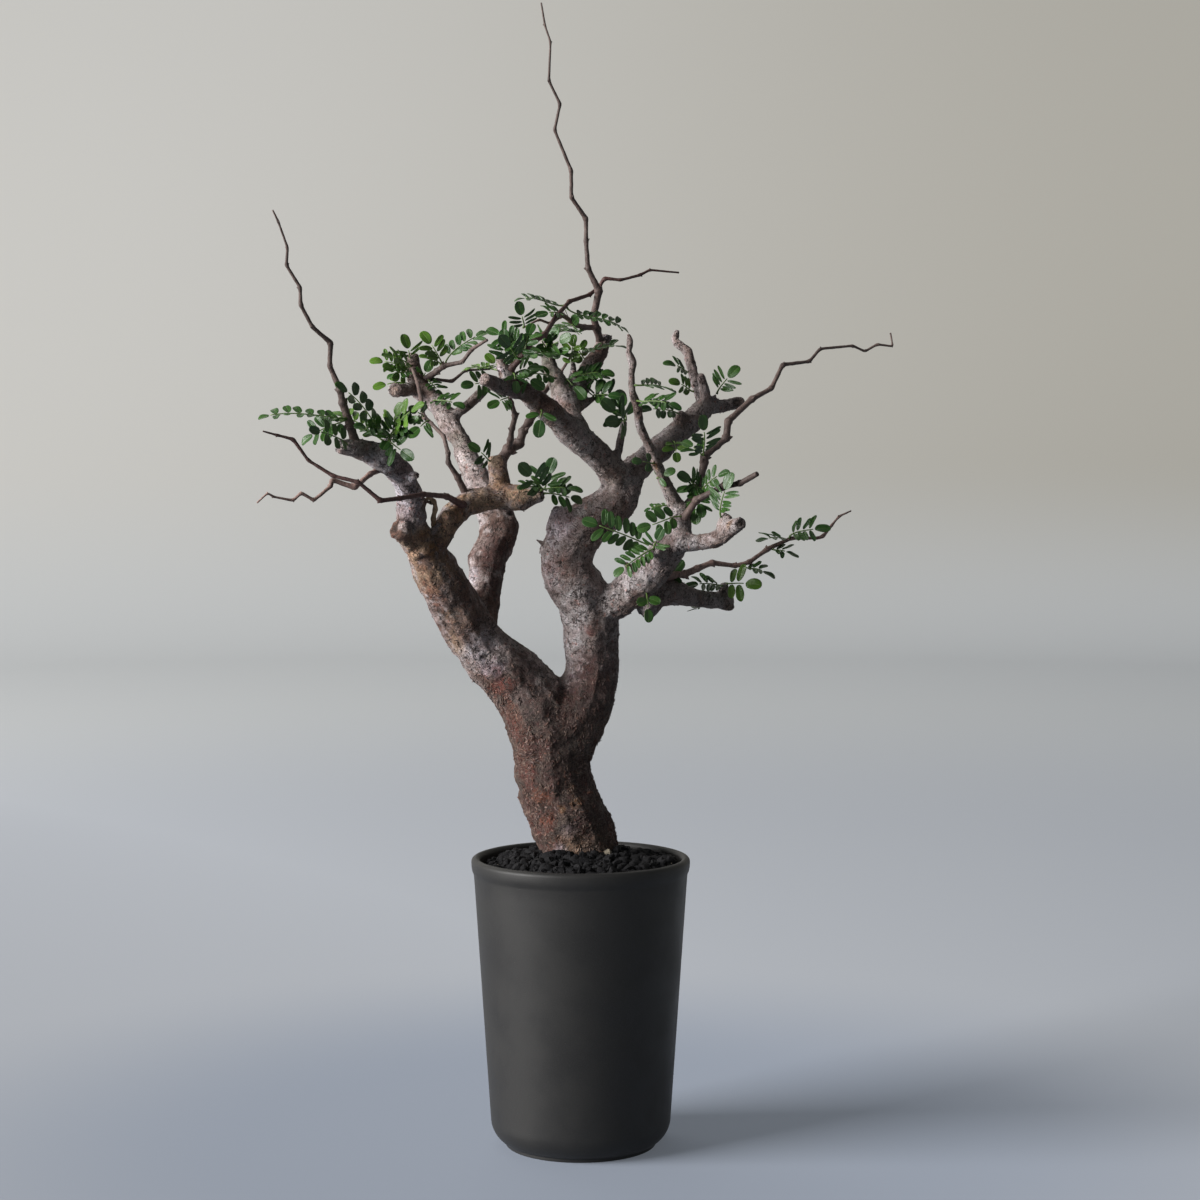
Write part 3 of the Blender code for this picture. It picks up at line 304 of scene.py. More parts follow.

# Patches of colour on the bark, laid one over the other: (x, y, z, radius, colour, strength). The near-white
# silver patches are painted highlights on lit limbs; other painted light and shade is named where it stands.
TINTS = [
    # Lower trunk.
    (-8, -13, 206, 13, WINE, 0.8), (-4, -13, 188, 10, WINE, 0.6), (2, -6, 207, 10, WINE, 0.8),
    (-22, -12, 193, 6.5, RUST, 0.95), (-24, -10, 205, 10, WINE, 0.45), (-24, -8, 182, 8, WINE, 0.5),
    (-18, -12, 178, 5, RED, 0.7), (-13, -12, 167, 7, RUST, 0.55), (0, -13, 176, 9, WINE, 0.75),
    (-15, -14, 207, 12, WINE, 0.7), (10, -8, 200, 12, WINE, 0.7), (-2, -12, 190, 3.6, OCHRE, 0.7),
    (-10, -14, 187, 2.6, OCHRE, 0.7), (-3, -12, 198, 3, TAN, 0.5), (11, -10, 163, 9, TAN, 0.45),
    (-3, -14, 165, 10, TAN, 0.75), (10, -10, 162, 8, CUT, 0.7), (-12, -12, 164, 5, LILAC, 0.6),
    (-6, -15, 175, 6, LILAC, 0.25), (-27, -8, 205, 7, RED, 0.4), (-30, -9, 226, 9, RED, 0.35),
    (-8, -14, 215, 10, DARK, 0.35), (5, -6, 225, 13, DARK, 0.45), (-11, -10, 245, 12, DARK, 0.5),
    (-4, -10, 242, 17, WINE, 0.9), (-19, -16, 242, 14, WINE, 0.8), (-19, -16, 226, 12, WINE, 0.6),
    (-30, -10, 250, 10, WINE, 0.5), (-6, -10, 262, 9, LILAC, 0.5), (-20, -14, 181, 5, RUST, 0.7),
    (-12, -13, 163, 6, LILAC, 0.3),
    # Left limb.
    (-44, -14, 258, 14, BROWN, 0.8), (-60, -22, 285, 18, BROWN, 0.75), (-70, -30, 306, 18, BROWN, 0.8),
    (-80, -38, 325, 12, BROWN, 0.75), (-53, -20, 276, 11, SILVER_AND_PAINTED_HIGHLIGHT, 0.75), (-30, -11, 261, 11, WINE, 0.75),
    (-48, -19, 264, 9, LILAC, 0.8), (-43, -16, 252, 9, RED, 0.75), (-46, -12, 288, 9, GREY, 0.5),
    (-38, -10, 241, 6, RUST, 0.4), (-68, -19, 277, 7, TAN, 0.5), (-84, -36, 312, 15, TAN, 0.7),
    (-78, -34, 303, 10, RUST, 0.5), (-66, -26, 292, 7, TAN, 0.3), (-88, -40, 322, 8, RUST, 0.35),
    (-70, -34, 316, 9, TAN, 0.5), (-78, -42, 329, 5.2, OCHRE, 0.95), (-88, -45, 332, 11, SAND, 0.9),
    (-81, -44, 338, 5, OCHRE, 0.6), (-92, -52, 350, 12, LILAC, 0.8), (-91, -57, 362, 17, SILVER_AND_PAINTED_HIGHLIGHT, 0.95),
    (-102, -68, 380, 11, SILVER_AND_PAINTED_HIGHLIGHT, 0.95), (-98, -50, 341, 9.5, BROWN, 0.95), (-99, -54, 344, 4, RUST, 0.5),
    (-92, -62, 374, 6, RED, 0.35), (-109, -71, 388, 6, DARK, 0.75), (-116, -72, 383, 6, TAN, 0.6),
    (-121, -73, 389, 5, BROWN, 0.9),
    # Cross limb and its stubs.
    (-71, -37, 336, 9, BROWN, 0.7), (-67, -36, 343, 10, SAND, 0.9), (-62, -31, 350, 9, OCHRE, 0.65),
    (-64, -27, 355, 3.4, OCHRE, 0.85), (-52, -27, 353, 14, SAND, 0.9), (-40, -24, 352, 12, SAND, 0.8),
    (-48, -26, 343, 6, BROWN, 0.6), (-45, -32, 356, 5, PALE, 0.5), (-43, -19, 366, 9, SAND, 0.8),
    (-43, -18, 367, 4, OCHRE, 0.6), (-38, -18, 358, 7, RUST, 0.5), (-46, -15, 377, 6, TAN, 0.8),
    (-33, -22, 357, 7, SAND, 0.9), (-26, -23, 357, 5, SAND, 0.75), (-19, -24, 359, 2.6, RUST, 0.7),
    # Second limb, behind. Its broad brown and wine patches are partly the bark's own colour and partly
    # painted shade, where the front limb shades it.
    (-42, 13, 330, 24, BROWN, 0.9), (-44, 12, 300, 18, BROWN, 0.9), (-34, 10, 322, 16, WINE, 0.8),
    (-47, 13, 328, 11, WINE, 0.75), (-47, 6, 308, 9, WINE, 0.75), (-56, 10, 332, 7, GREY, 0.8),
    (-49, 9, 321, 13, WINE, 0.6), (-60, 7, 312, 6, SILVER_AND_PAINTED_HIGHLIGHT, 0.9), (-80, 49, 401, 12, GREY, 0.7),
    (-66, 30, 378, 14, GREY, 0.7), (-72, 42, 388, 9, GREEN, 0.5), (-63, 29, 375, 10, PALE, 0.55),
    (-96, 64, 428, 9, BROWN, 0.6),
    # Head and the middle limbs.
    (-12, -12, 344, 14, LILAC, 0.75), (-14, -14, 332, 8, SILVER_AND_PAINTED_HIGHLIGHT, 0.5), (-3, -17, 322, 16, BROWN, 0.45),
    (6, -14, 340, 12, BROWN, 0.5), (-14, -13, 318, 10, RED, 0.4), (5, -10, 283, 4.2, RED, 1),
    (-1, -8, 292, 15, PALE, 0.6), (15, -6, 266, 15, WINE, 0.8), (11, -6, 250, 14, WINE, 0.8),
    (17, -13, 371, 9, TAN, 0.35), (-17, -43, 407, 6, RUST, 0.45), (-16, -42, 406, 8, BROWN, 0.7),
    (-32, -57, 411, 6, RUST, 0.4), (-26, -52, 411, 10, BROWN, 0.75), (-47, -62, 420, 6, LILAC, 0.95),
    (-51, -62, 420, 2.6, BROWN, 0.9), (-36, -59, 409, 6, LILAC, 0.7), (-31, -54, 418, 7, BROWN, 0.9),
    (-13, -40, 391, 6, PALE, 0.75), (-18, 4, 434, 9, GREEN, 0.85), (-16, 3, 424, 4, DARK, 0.7),
    (12, 20, 434, 11, BROWN, 0.8), (15, 19, 444, 3, LILAC, 0.9), (-6, -30, 396, 10, BROWN, 0.25),
    (0, -26, 390, 15, PALE, 0.6), (12, -16, 376, 13, PALE, 0.5), (-15, -1, 421, 12, GREEN, 0.6),
    # Right limbs. The pale patches at (60, 2, 304) and (74, 11, 301) are painted light on the lower right
    # stub, which the limb above shades.
    (14, -14, 303, 10, PALE, 0.5), (40, -30, 318, 9, LILAC, 0.3), (25, -26, 320, 2.6, TAN, 0.9),
    (74, -46, 341, 9, GREY, 0.6), (66, -42, 338, 9, BROWN, 0.45), (78, -51, 343, 3, OCHRE, 0.6),
    (39, -37, 372, 2.8, OCHRE, 1), (60, 2, 304, 12, PALE, 0.5), (74, 11, 301, 14, PALE, 0.8),
    (83, 18, 294, 3, TAN, 0.8), (40, 15, 380, 15, PALE, 0.5), (56, 29, 398, 6, BROWN, 0.5),
    (70, 42, 405, 9, GREY, 0.6), (60, 30, 385, 9, GREEN, 0.35), (31, -52, 405, 14, BROWN, 0.45),
]
# Marks in the bark, by kind: (x, y, z, radius, height or depth).
MARKS = {
    "cut": [
        (-98, -52, 342, 6.2, 1.3), (-106, 45, 415, 4.6, 0.9), (89, 53, 409, 4.4, 1),
        (-42, -59, 420, 3.6, 0.7), (83, 18, 293, 3.2, 0.6),
    ],
    "hollow": [
        (38, -47, 331, 4.6, 3), (39, -37, 372, 2.5, 0.6), (-78, -43, 328, 2.2, 0.5),
    ],
    "pit": [
        (-66, -34, 342, 1.9, 1.2), (-83, 50, 401, 1.5, 0.8), (-61, 10, 315, 1.2, 0.7),
        (-58, 6, 311, 1.3, 0.7), (48, -29, 345, 1.3, 0.8), (49, -31, 341, 1.2, 0.7),
        (48, -31, 336, 1.3, 0.8), (31, -50, 400, 1.6, 0.9), (-39, 20, 347, 2.6, 1.4),
        (-84, -63, 369, 3, 1.5), (-3, -13, 189, 1.6, 1), (13, -9, 178, 1.8, 1), (84, -54, 343, 3.4, 1.8),
        (-19, -22, 360, 2.2, 1.2), (-106, -71, 386, 1.6, 1), (-122, -73, 388, 2.4, 1.2),
    ],
    "knob": [
        (-90, -43, 331, 3.5, 1.3), (-112, -72, 391, 1.8, 1.5), (-107, -71, 390, 1.5, 1.3),
        (-103, -69, 389, 1.6, 1.4), (-98, -67, 388, 1.4, 1), (-64, -27, 357, 3.2, 1.2),
        (-43, -16, 368, 4.5, 1.2), (-84, -64, 372, 3, 1.6), (-16, -43, 408, 4.5, 1.5),
        (56, 29, 400, 4.5, 1.6), (48, -28, 351, 4, 0.9), (36, -24, 313, 3, 0.9), (-22, -12, 193, 6, 0.9),
        (-39, 21, 343, 4, 1.2), (63, -42, 336, 3, 0.9),
    ],
}


# ---------------------------------------------------------------- numbers

def hashed(cells, seed):
    """A repeatable random number from 0 to 1 for each whole-number cell."""
    x, y, z = np.moveaxis(cells, -1, 0)
    mixed = x * 73856093 ^ y * 19349663 ^ z * 83492791 ^ seed * 40503
    mixed = (mixed ^ (mixed >> 13)) * 1274126177
    mixed = (mixed ^ (mixed >> 16)) * 668265263
    mixed = mixed ^ (mixed >> 15)
    return (mixed & 0xFFFFF) / 0xFFFFF


def smooth_noise(points, size, seed):
    """Soft noise from -1 to 1 with lumps about as wide as size."""
    scaled = points / size
    cell = np.floor(scaled).astype(np.int64)
    part = scaled - cell
    part = part * part * part * (part * (part * 6 - 15) + 10)
    sides = (1 - part, part)
    total = np.zeros(len(points))
    for x, y, z in itertools.product((0, 1), repeat=3):
        weight = sides[x][:, 0] * sides[y][:, 1] * sides[z][:, 2]
        total += weight * hashed(cell + np.array((x, y, z)), seed)
    return 2 * total - 1


def layered_noise(points, size, seed, layers=3):
    """Soft noise with finer and weaker layers added."""
    total = np.zeros(len(points))
    for layer in range(layers):
        total += 0.5**layer * smooth_noise(points, size / 2**layer, seed + layer)
    return total


def cell_spots(points, size, share, seed):
    """Distance to the nearest spot's centre in units of size; only a share of the cells holds a spot."""
    far = 9.0
    scaled = points / size
    cell = np.floor(scaled).astype(np.int64)
    nearest = np.full(len(points), far)
    for shift in itertools.product((-1, 0, 1), repeat=3):
        near = cell + np.array(shift)
        centre = near + np.stack([hashed(near, seed + k) for k in (1, 2, 3)], axis=1)
        away = np.linalg.norm(scaled - centre, axis=1)
        away[hashed(near, seed) > share] = far
        nearest = np.minimum(nearest, away)
    return nearest


def step_up(values, low, high):
    """A smooth step from 0 at low to 1 at high."""
    share = np.clip((values - low) / (high - low), 0.0, 1.0)
    return share * share * (3 - 2 * share)


def unit(vectors):
    return vectors / np.maximum(np.linalg.norm(vectors, axis=-1, keepdims=True), 1e-9)


def towards(base, colour, share):
    """The base colours, each moved by its share towards the colour."""
    return base + (np.array(colour) - base) * share[:, None]


# ---------------------------------------------------------------- meshes and objects

def placed(name, data):
    """A new object in the scene that holds the data."""
    made = bpy.data.objects.new(name, data)
    bpy.context.scene.collection.objects.link(made)
    return made


def new_object(name, mesh, material, replaced=()):
    """A piece of the object: it rides with the plant, and stands for the CAD nodes named."""
    piece = placed(name, mesh)
    mesh.materials.clear()
    mesh.materials.append(material)
    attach(piece, BODY)
    if replaced:
        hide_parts(*replaced)
    return piece


def mesh_from(name, points, faces):
    """A smooth-shaded mesh from points in millimetres."""
    mesh = bpy.data.meshes.new(name)
    mesh.from_pydata((np.asarray(points) * MM).tolist(), [], faces)
    mesh.validate()
    mesh.shade_smooth()
    return mesh


def read_rows(items, key, kind=np.float64, width=3):
    flat = np.empty(len(items) * width, kind)
    items.foreach_get(key, flat)
    return flat.reshape(-1, width)


def mesh_points(mesh):
    return read_rows(mesh.vertices, "co") / MM


def mesh_normals(mesh):
    return read_rows(mesh.vertex_normals, "vector")


def set_points(mesh, points):
    mesh.vertices.foreach_set("co", (points * MM).astype(np.float32).ravel())
    mesh.update()


def add_values(mesh, name, values):
    """A float or colour value for each vertex, which the material reads by name."""
    values = np.asarray(values, np.float32)
    if values.ndim == 1:
        mesh.attributes.new(name, "FLOAT", "POINT").data.foreach_set("value", values)
    else:
        colours = np.concatenate([values, np.ones((len(values), 1), np.float32)], axis=1)
        mesh.attributes.new(name, "FLOAT_COLOR", "POINT").data.foreach_set("color", colours.ravel())


def modified_mesh(obj):
    """A new mesh with the object's modifiers applied."""
    bpy.context.view_layer.update()
    graph = bpy.context.evaluated_depsgraph_get()
    return bpy.data.meshes.new_from_object(obj.evaluated_get(graph))


def ring_faces(rings, turns, start, caps):
    """Faces between rings of points from index start on, closed by a point at one end or at both."""
    last = start + (rings - 1) * turns
    faces = []
    for step in range(turns):
        after = (step + 1) % turns
        faces.append((caps[0], start + step, start + after))
        for low in range(start, last, turns):
            faces.append((low + step, low + turns + step, low + turns + after, low + after))
        if len(caps) > 1:
            faces.append((last + step, caps[1], last + after))
    return faces


def circle(turns):
    """Cosines and sines of even steps round a circle."""
    angles = 2 * np.pi * np.arange(turns) / turns
    return np.cos(angles), np.sin(angles)


def ring(radius, height, turns):
    """Points of a level circle about Z."""
    cosines, sines = circle(turns)
    return np.stack([radius * cosines, radius * sines, np.full(turns, height)], axis=1)


def arc(middle, radius, start, end, steps):
    angles = np.radians(np.linspace(start, end, steps + 1))
    return [(middle[0] + radius * math.cos(a), middle[1] + radius * math.sin(a)) for a in angles]


def repeated_faces(faces, count, size):
    """The faces of count copies of a shape that has size points."""
    shift = np.arange(count) * size
    return (np.array(faces)[None] + shift[:, None, None]).reshape(-1, len(faces[0])).tolist()


def icosphere(level):
    bpy.ops.mesh.primitive_ico_sphere_add(subdivisions=level, radius=1.0)
    ball = bpy.context.object
    points = mesh_points(ball.data) * MM
    faces = [tuple(face.vertices) for face in ball.data.polygons]
    bpy.data.objects.remove(ball, do_unlink=True)
    return points, faces


def merged(parts):
    """The points and faces of several parts as one list of each."""
    points = []
    faces = []
    start = 0
    for part_points, part_faces in parts:
        points.append(part_points)
        faces += [tuple(start + index for index in face) for face in part_faces]
        start += len(part_points)
    return np.concatenate(points), faces


def tree_of(meshes):
    """A search tree over the meshes' faces, in metres."""
    parts = []
    for mesh in meshes:
        parts.append(([tuple(v.co) for v in mesh.vertices], [tuple(f.vertices) for f in mesh.polygons]))
    points, faces = merged(parts)
    return BVHTree.FromPolygons(points.tolist(), faces)


# ---------------------------------------------------------------- materials

class Shader:
    """A material's nodes, made one call at a time."""

    def __init__(self, name):
        self.material = bpy.data.materials.new(name)
        self.material.use_nodes = True
        self.nodes = self.material.node_tree.nodes
        self.links = self.material.node_tree.links
        self.principled = self.nodes["Principled BSDF"]
        self.place = self.add("TexCoord").outputs["Object"]

    def add(self, kind, **settings):
        node = self.nodes.new("ShaderNode" + kind)
        for key, value in settings.items():
            setattr(node, key, value)
        return node

    def put(self, node, **values):
        """Sets or links a node's inputs, named with _ for a space."""
        for key, value in values.items():
            self.feed(node.inputs[key.replace("_", " ")], value)

    def feed(self, socket, value):
        if isinstance(value, bpy.types.NodeSocket):
            self.links.new(value, socket)
        elif isinstance(value, tuple) and len(value) == 3 and socket.type == "RGBA":
            socket.default_value = (*value, 1.0)
        else:
            socket.default_value = value

    def finish(self, name, value):
        self.feed(self.principled.inputs[name], value)

    def value(self, name):
        return self.add("Attribute", attribute_name=name).outputs["Fac"]

    def colour(self, name):
        return self.add("Attribute", attribute_name=name).outputs["Color"]

    def noise(self, size, detail=2.0, rough=0.5, place=None, warp=0.0):
        """Noise from 0 to 1 with lumps about size millimetres wide."""
        node = self.add("TexNoise")
        self.put(node, Vector=place or self.place, Scale=1.0 / (size * MM), Detail=detail)
        self.put(node, Roughness=rough, Distortion=warp)
        return node.outputs["Fac"]

    def cells(self, size, feature="F1", place=None):
        node = self.add("TexVoronoi", feature=feature)
        self.put(node, Vector=place or self.place, Scale=1.0 / (size * MM))
        return node.outputs["Distance"]

    def stretched(self, x, y, z):
        node = self.add("Mapping")
        self.put(node, Vector=self.place, Scale=(x, y, z))
        return node.outputs["Vector"]

    def bent(self, size, amount):
        """The place, pushed about by up to amount millimetres."""
        push = self.add("TexNoise")
        self.put(push, Vector=self.place, Scale=1.0 / (size * MM))
        node = self.add("VectorMath", operation="MULTIPLY_ADD")
        self.feed(node.inputs[0], push.outputs["Color"])
        self.feed(node.inputs[1], (amount * MM, amount * MM, amount * MM))
        self.feed(node.inputs[2], self.place)
        return node.outputs["Vector"]

    def ramp(self, value, low, high, start=0.0, end=1.0):
        node = self.add("MapRange", interpolation_type="SMOOTHSTEP")
        self.put(node, Value=value, From_Min=low, From_Max=high, To_Min=start, To_Max=end)
        return node.outputs["Result"]

    def math(self, operation, first, second=0.0):
        node = self.add("Math", operation=operation)
        self.feed(node.inputs[0], first)
        self.feed(node.inputs[1], second)
        return node.outputs["Value"]

    def times(self, first, second):
        return self.math("MULTIPLY", first, second)

    def plus(self, first, second):
        return self.math("ADD", first, second)

    def total(self, first, *others):
        """A value plus others, each given with its weight."""
        for value, weight in others:
            first = self.plus(first, self.times(value, weight))
        return first

    def mix(self, share, first, second, blend="MIX"):
        node = self.add("Mix", data_type="RGBA", blend_type=blend)
        self.put(node, Factor=share)
        self.feed(node.inputs[6], first)
        self.feed(node.inputs[7], second)
        return node.outputs[2]

    def scaled(self, base, share, factor):
        """The base colour, multiplied by the factor where the share is 1."""
        return self.mix(share, base, self.mix(1.0, base, factor, "MULTIPLY"))

    def finished(self, colour, rough, height, depth):
        """The material, with its colour, roughness and a relief as deep as depth in millimetres."""
        node = self.add("Bump")
        self.put(node, Height=height, Distance=depth * MM, Strength=1.0)
        self.finish("Normal", node.outputs["Normal"])
        self.finish("Base Color", colour)
        self.finish("Roughness", rough)
        return self.material


def bark_material():
    """Speckled bark. The mesh carries its broad colour, with painted light and shade in it, how many dark
    specks it has and how flaky it is.
    """
    s = Shader("speckled_bark")
    specks = s.value("specks")
    flaky = s.value("flaky")
    cloud = s.noise(9.0, 3.0, 0.6)
    blotch = s.noise(3.0, 5.0, 0.75, warp=0.6)
    light = s.noise(2.2, 5.0, 0.75, warp=0.8)
    red = s.noise(4.0, 5.0, 0.75)
    grain = s.noise(0.8, 3.0, 0.7)
    base = s.colour("tint")
    base = s.scaled(base, s.ramp(cloud, 0.42, 0.62, 0.0, 0.45), (0.62, 0.46, 0.42))
    base = s.scaled(base, s.ramp(blotch, 0.51, 0.60, 0.0, 0.7), (0.42, 0.33, 0.30))
    base = s.scaled(base, s.times(s.ramp(blotch, 0.50, 0.42), flaky), (0.60, 0.52, 0.52))
    base = s.scaled(base, s.ramp(light, 0.52, 0.60, 0.0, 0.85), (1.5, 1.48, 1.53))
    base = s.scaled(base, s.ramp(red, 0.59, 0.64, 0.0, 0.55), (1.15, 0.56, 0.45))
    base = s.scaled(base, s.ramp(grain, 0.52, 0.40, 0.0, 0.6), (0.48, 0.43, 0.41))
    # Dark specks, more of them where the mesh asks.
    grit = s.noise(1.6, 5.0, 0.75, warp=0.5)
    limit = s.math("SUBTRACT", 0.645, s.times(specks, 0.19))
    base = s.mix(s.times(s.ramp(grit, limit, s.plus(limit, 0.025)), 0.9), base, DARK)
    # Round pores of uneven size.
    pore_size = s.ramp(s.noise(5.0, 2.0, 0.5), 0.42, 0.62, 0.04, 0.26)
    pore = s.ramp(s.cells(2.4), pore_size, s.math("SUBTRACT", pore_size, 0.06))
    base = s.mix(s.times(pore, 0.55), base, DARK)
    # Short dark cracks, in patches.
    crack = s.ramp(s.cells(4.2, "DISTANCE_TO_EDGE", s.bent(2.6, 3.4)), 0.085, 0.02)
    crack = s.times(crack, s.ramp(s.noise(5.5, 3.0, 0.65), 0.50, 0.58))
    base = s.mix(s.times(crack, 0.75), base, DARK)
    # The raised edges of curling bark.
    curls = s.noise(1.9, 4.0, 0.7, warp=2.2)
    curl_line = s.math("ABSOLUTE", s.math("SUBTRACT", curls, 0.5))
    flakes = s.times(s.ramp(curl_line, 0.055, 0.02), flaky)
    patches = s.ramp(s.noise(6.0, 3.0, 0.6), 0.42, 0.6)
    flakes = s.times(flakes, s.plus(0.35, s.times(patches, 0.65)))
    base = s.mix(s.times(flakes, 0.9), base, (0.42, 0.31, 0.25))
    relief = s.total(s.times(grit, -0.9), (flakes, 0.7), (blotch, -0.8), (pore, -0.5), (crack, -0.7))
    return s.finished(base, s.ramp(blotch, 0.3, 0.7, 0.86, 0.62), relief, 1.6)


def flake_material():
    """Loose scales of bark: the mesh carries each one's colour."""
    s = Shader("bark_scales")
    fine = s.noise(0.8, 3.0, 0.65)
    tint = s.colour("tint")
    dull = s.mix(1.0, tint, (0.55, 0.5, 0.48), "MULTIPLY")
    base = s.mix(s.ramp(fine, 0.35, 0.65), dull, tint)
    return s.finished(base, s.ramp(fine, 0.3, 0.7, 0.6, 0.85), fine, 0.25)


def stem_material():
    """The thin shoots' bark: the mesh carries its broad colour."""
    s = Shader("stem_bark")
    fine = s.noise(1.2, 4.0, 0.65)
    streak = s.noise(2.2, 3.0, 0.6, place=s.stretched(1.0, 1.0, 0.45))
    base = s.scaled(s.colour("tint"), s.ramp(streak, 0.35, 0.7, 0.0, 0.8), (0.42, 0.38, 0.38))
    base = s.mix(s.ramp(fine, 0.62, 0.70, 0.0, 0.7), base, (0.36, 0.29, 0.26))
    base = s.mix(s.ramp(fine, 0.42, 0.34, 0.0, 0.75), base, (0.025, 0.016, 0.014))
    return s.finished(base, s.ramp(fine, 0.3, 0.7, 0.5, 0.8), s.total(fine, (streak, 0.5)), 0.35)


def leaf_material(name, top, top_dark, under, rib):
    """Glossy leaf. The mesh carries the tone, the distance from the midrib, the underside and the stalk."""
    s = Shader(name)
    across = s.value("across")
    mottle = s.noise(2.2, 3.0, 0.6)
    veins = s.noise(0.7, 2.0, 0.5)
    blade = s.mix(s.value("tone"), top_dark, top)
    blade = s.scaled(blade, s.ramp(mottle, 0.35, 0.7, 0.0, 0.45), (0.62, 0.72, 0.5))
    blade = s.scaled(blade, s.ramp(veins, 0.55, 0.7, 0.0, 0.25), (1.5, 1.4, 1.3))
    blade = s.mix(s.ramp(across, 0.13, 0.03, 0.0, 0.35), blade, rib)
    blade = s.mix(s.ramp(across, 0.9, 1.0, 0.0, 0.15), blade, rib)
    blade = s.mix(s.times(s.value("below"), 0.75), blade, under)
    base = s.mix(s.value("stalk"), blade, rib)
    s.finish("Subsurface Weight", 0.12)
    s.finish("Subsurface Radius", (0.6, 1.0, 0.2))
    s.finish("Subsurface Scale", 0.6 * MM)
    relief = s.plus(veins, s.ramp(across, 0.0, 0.2))
    return s.finished(base, s.ramp(mottle, 0.3, 0.7, 0.3, 0.48), relief, 0.12)


def clay_material():
    """Dark matte clay. The mesh carries where the rim is worn."""
    s = Shader("matte_clay")
    cloud = s.noise(24.0, 3.0, 0.55)
    grain = s.noise(0.6, 2.0, 0.5)
    pores = s.cells(3.2)
    base = s.mix(s.ramp(cloud, 0.3, 0.7), (0.016, 0.0156, 0.0156), (0.021, 0.0205, 0.020))
    base = s.mix(s.ramp(grain, 0.35, 0.75, 0.0, 0.35), base, (0.030, 0.029, 0.028))
    base = s.mix(s.ramp(pores, 0.09, 0.04, 0.0, 0.5), base, (0.010, 0.010, 0.010))
    base = s.mix(s.times(s.value("edge"), 0.15), base, (0.065, 0.063, 0.06))
    s.finish("Specular IOR Level", 0.38)
    relief = s.plus(s.times(grain, 0.5), s.ramp(pores, 0.10, 0.04, 0.0, -1.0))
    return s.finished(base, s.ramp(cloud, 0.3, 0.7, 0.48, 0.6), relief, 0.08)


def grit_material():
    """Black lava. The mesh carries each grain's tone, and the few highest tones are pale chips."""
    s = Shader("lava_grit")
    tone = s.value("tone")
    fine = s.noise(0.8, 4.0, 0.7)
    base = s.mix(tone, (0.004, 0.004, 0.005), (0.017, 0.0165, 0.018))
    base = s.mix(s.ramp(fine, 0.48, 0.75, 0.0, 0.6), base, (0.032, 0.031, 0.034))
    base = s.mix(s.ramp(tone, 0.993, 0.996), base, (0.30, 0.26, 0.20))
    s.finish("Specular IOR Level", 0.2)
    relief = s.plus(fine, s.ramp(s.cells(0.9), 0.3, 0.1, 0.0, -1.0))
    return s.finished(base, s.ramp(fine, 0.3, 0.7, 0.7, 0.95), relief, 0.6)


def stage_material():
    """Pale paper, a little bluer where the pot stands and warmer on the wall, with painted shade on the
    wall's side away from the window and close to the window lamp, and a faint glow.
    """
    s = Shader("studio_paper")
    split = s.add("SeparateXYZ")
    s.put(split, Vector=s.place)
    flat = s.add("CombineXYZ")
    s.put(flat, X=split.outputs["X"], Y=split.outputs["Y"])
    length = s.add("VectorMath", operation="LENGTH")
    s.feed(length.inputs[0], flat.outputs["Vector"])
    away = length.outputs["Value"]
    near = s.mix(s.ramp(away, 0.18, 0.50), (0.30, 0.34, 0.42), (0.47, 0.49, 0.53))
    floor = s.mix(s.ramp(away, 1.2, 2.6), near, (0.59, 0.60, 0.60))
    # Painted shade: the wall is darker and warmer towards +x, away from the window.
    wall = s.mix(s.ramp(split.outputs["X"], -1.4, 1.6), (0.60, 0.585, 0.55), (0.46, 0.43, 0.36))
    base = s.mix(s.ramp(split.outputs["Z"], 0.0, 0.4), floor, wall)
    # Painted shade: the paper is darkened close to the window lamp, so no view is burnt out.
    gap = s.add("VectorMath", operation="DISTANCE")
    s.feed(gap.inputs[0], s.place)
    s.feed(gap.inputs[1], WINDOW_PLACE)
    even = s.math("MINIMUM", s.math("POWER", s.math("DIVIDE", gap.outputs["Value"], 4.4), 3.0), 1.0)
    s.finish("Base Color", s.mix(even, (0.0, 0.0, 0.0), base))
    s.finish("Roughness", 0.9)
    # The glow stands for the light that a whole room would send into the shadow.
    s.finish("Emission Color", (0.080, 0.088, 0.100))
    s.finish("Emission Strength", 1.0)
    return s.material


# ---------------------------------------------------------------- pot

def rounded(profile, corners):
    """The profile with the corners named by index cut back into short curves."""
    points = []
    for index, point in enumerate(profile):
        if index not in corners:
            points.append(point)
            continue
        radius = corners[index]
        here = np.array(point)
        before = here + radius * unit(np.array(profile[index - 1]) - here)
        after = here + radius * unit(np.array(profile[index + 1]) - here)
        for share in np.linspace(0, 1, 5):
            points.append(tuple((1 - share)**2 * before + 2 * share * (1 - share) * here + share**2 * after))
    return points


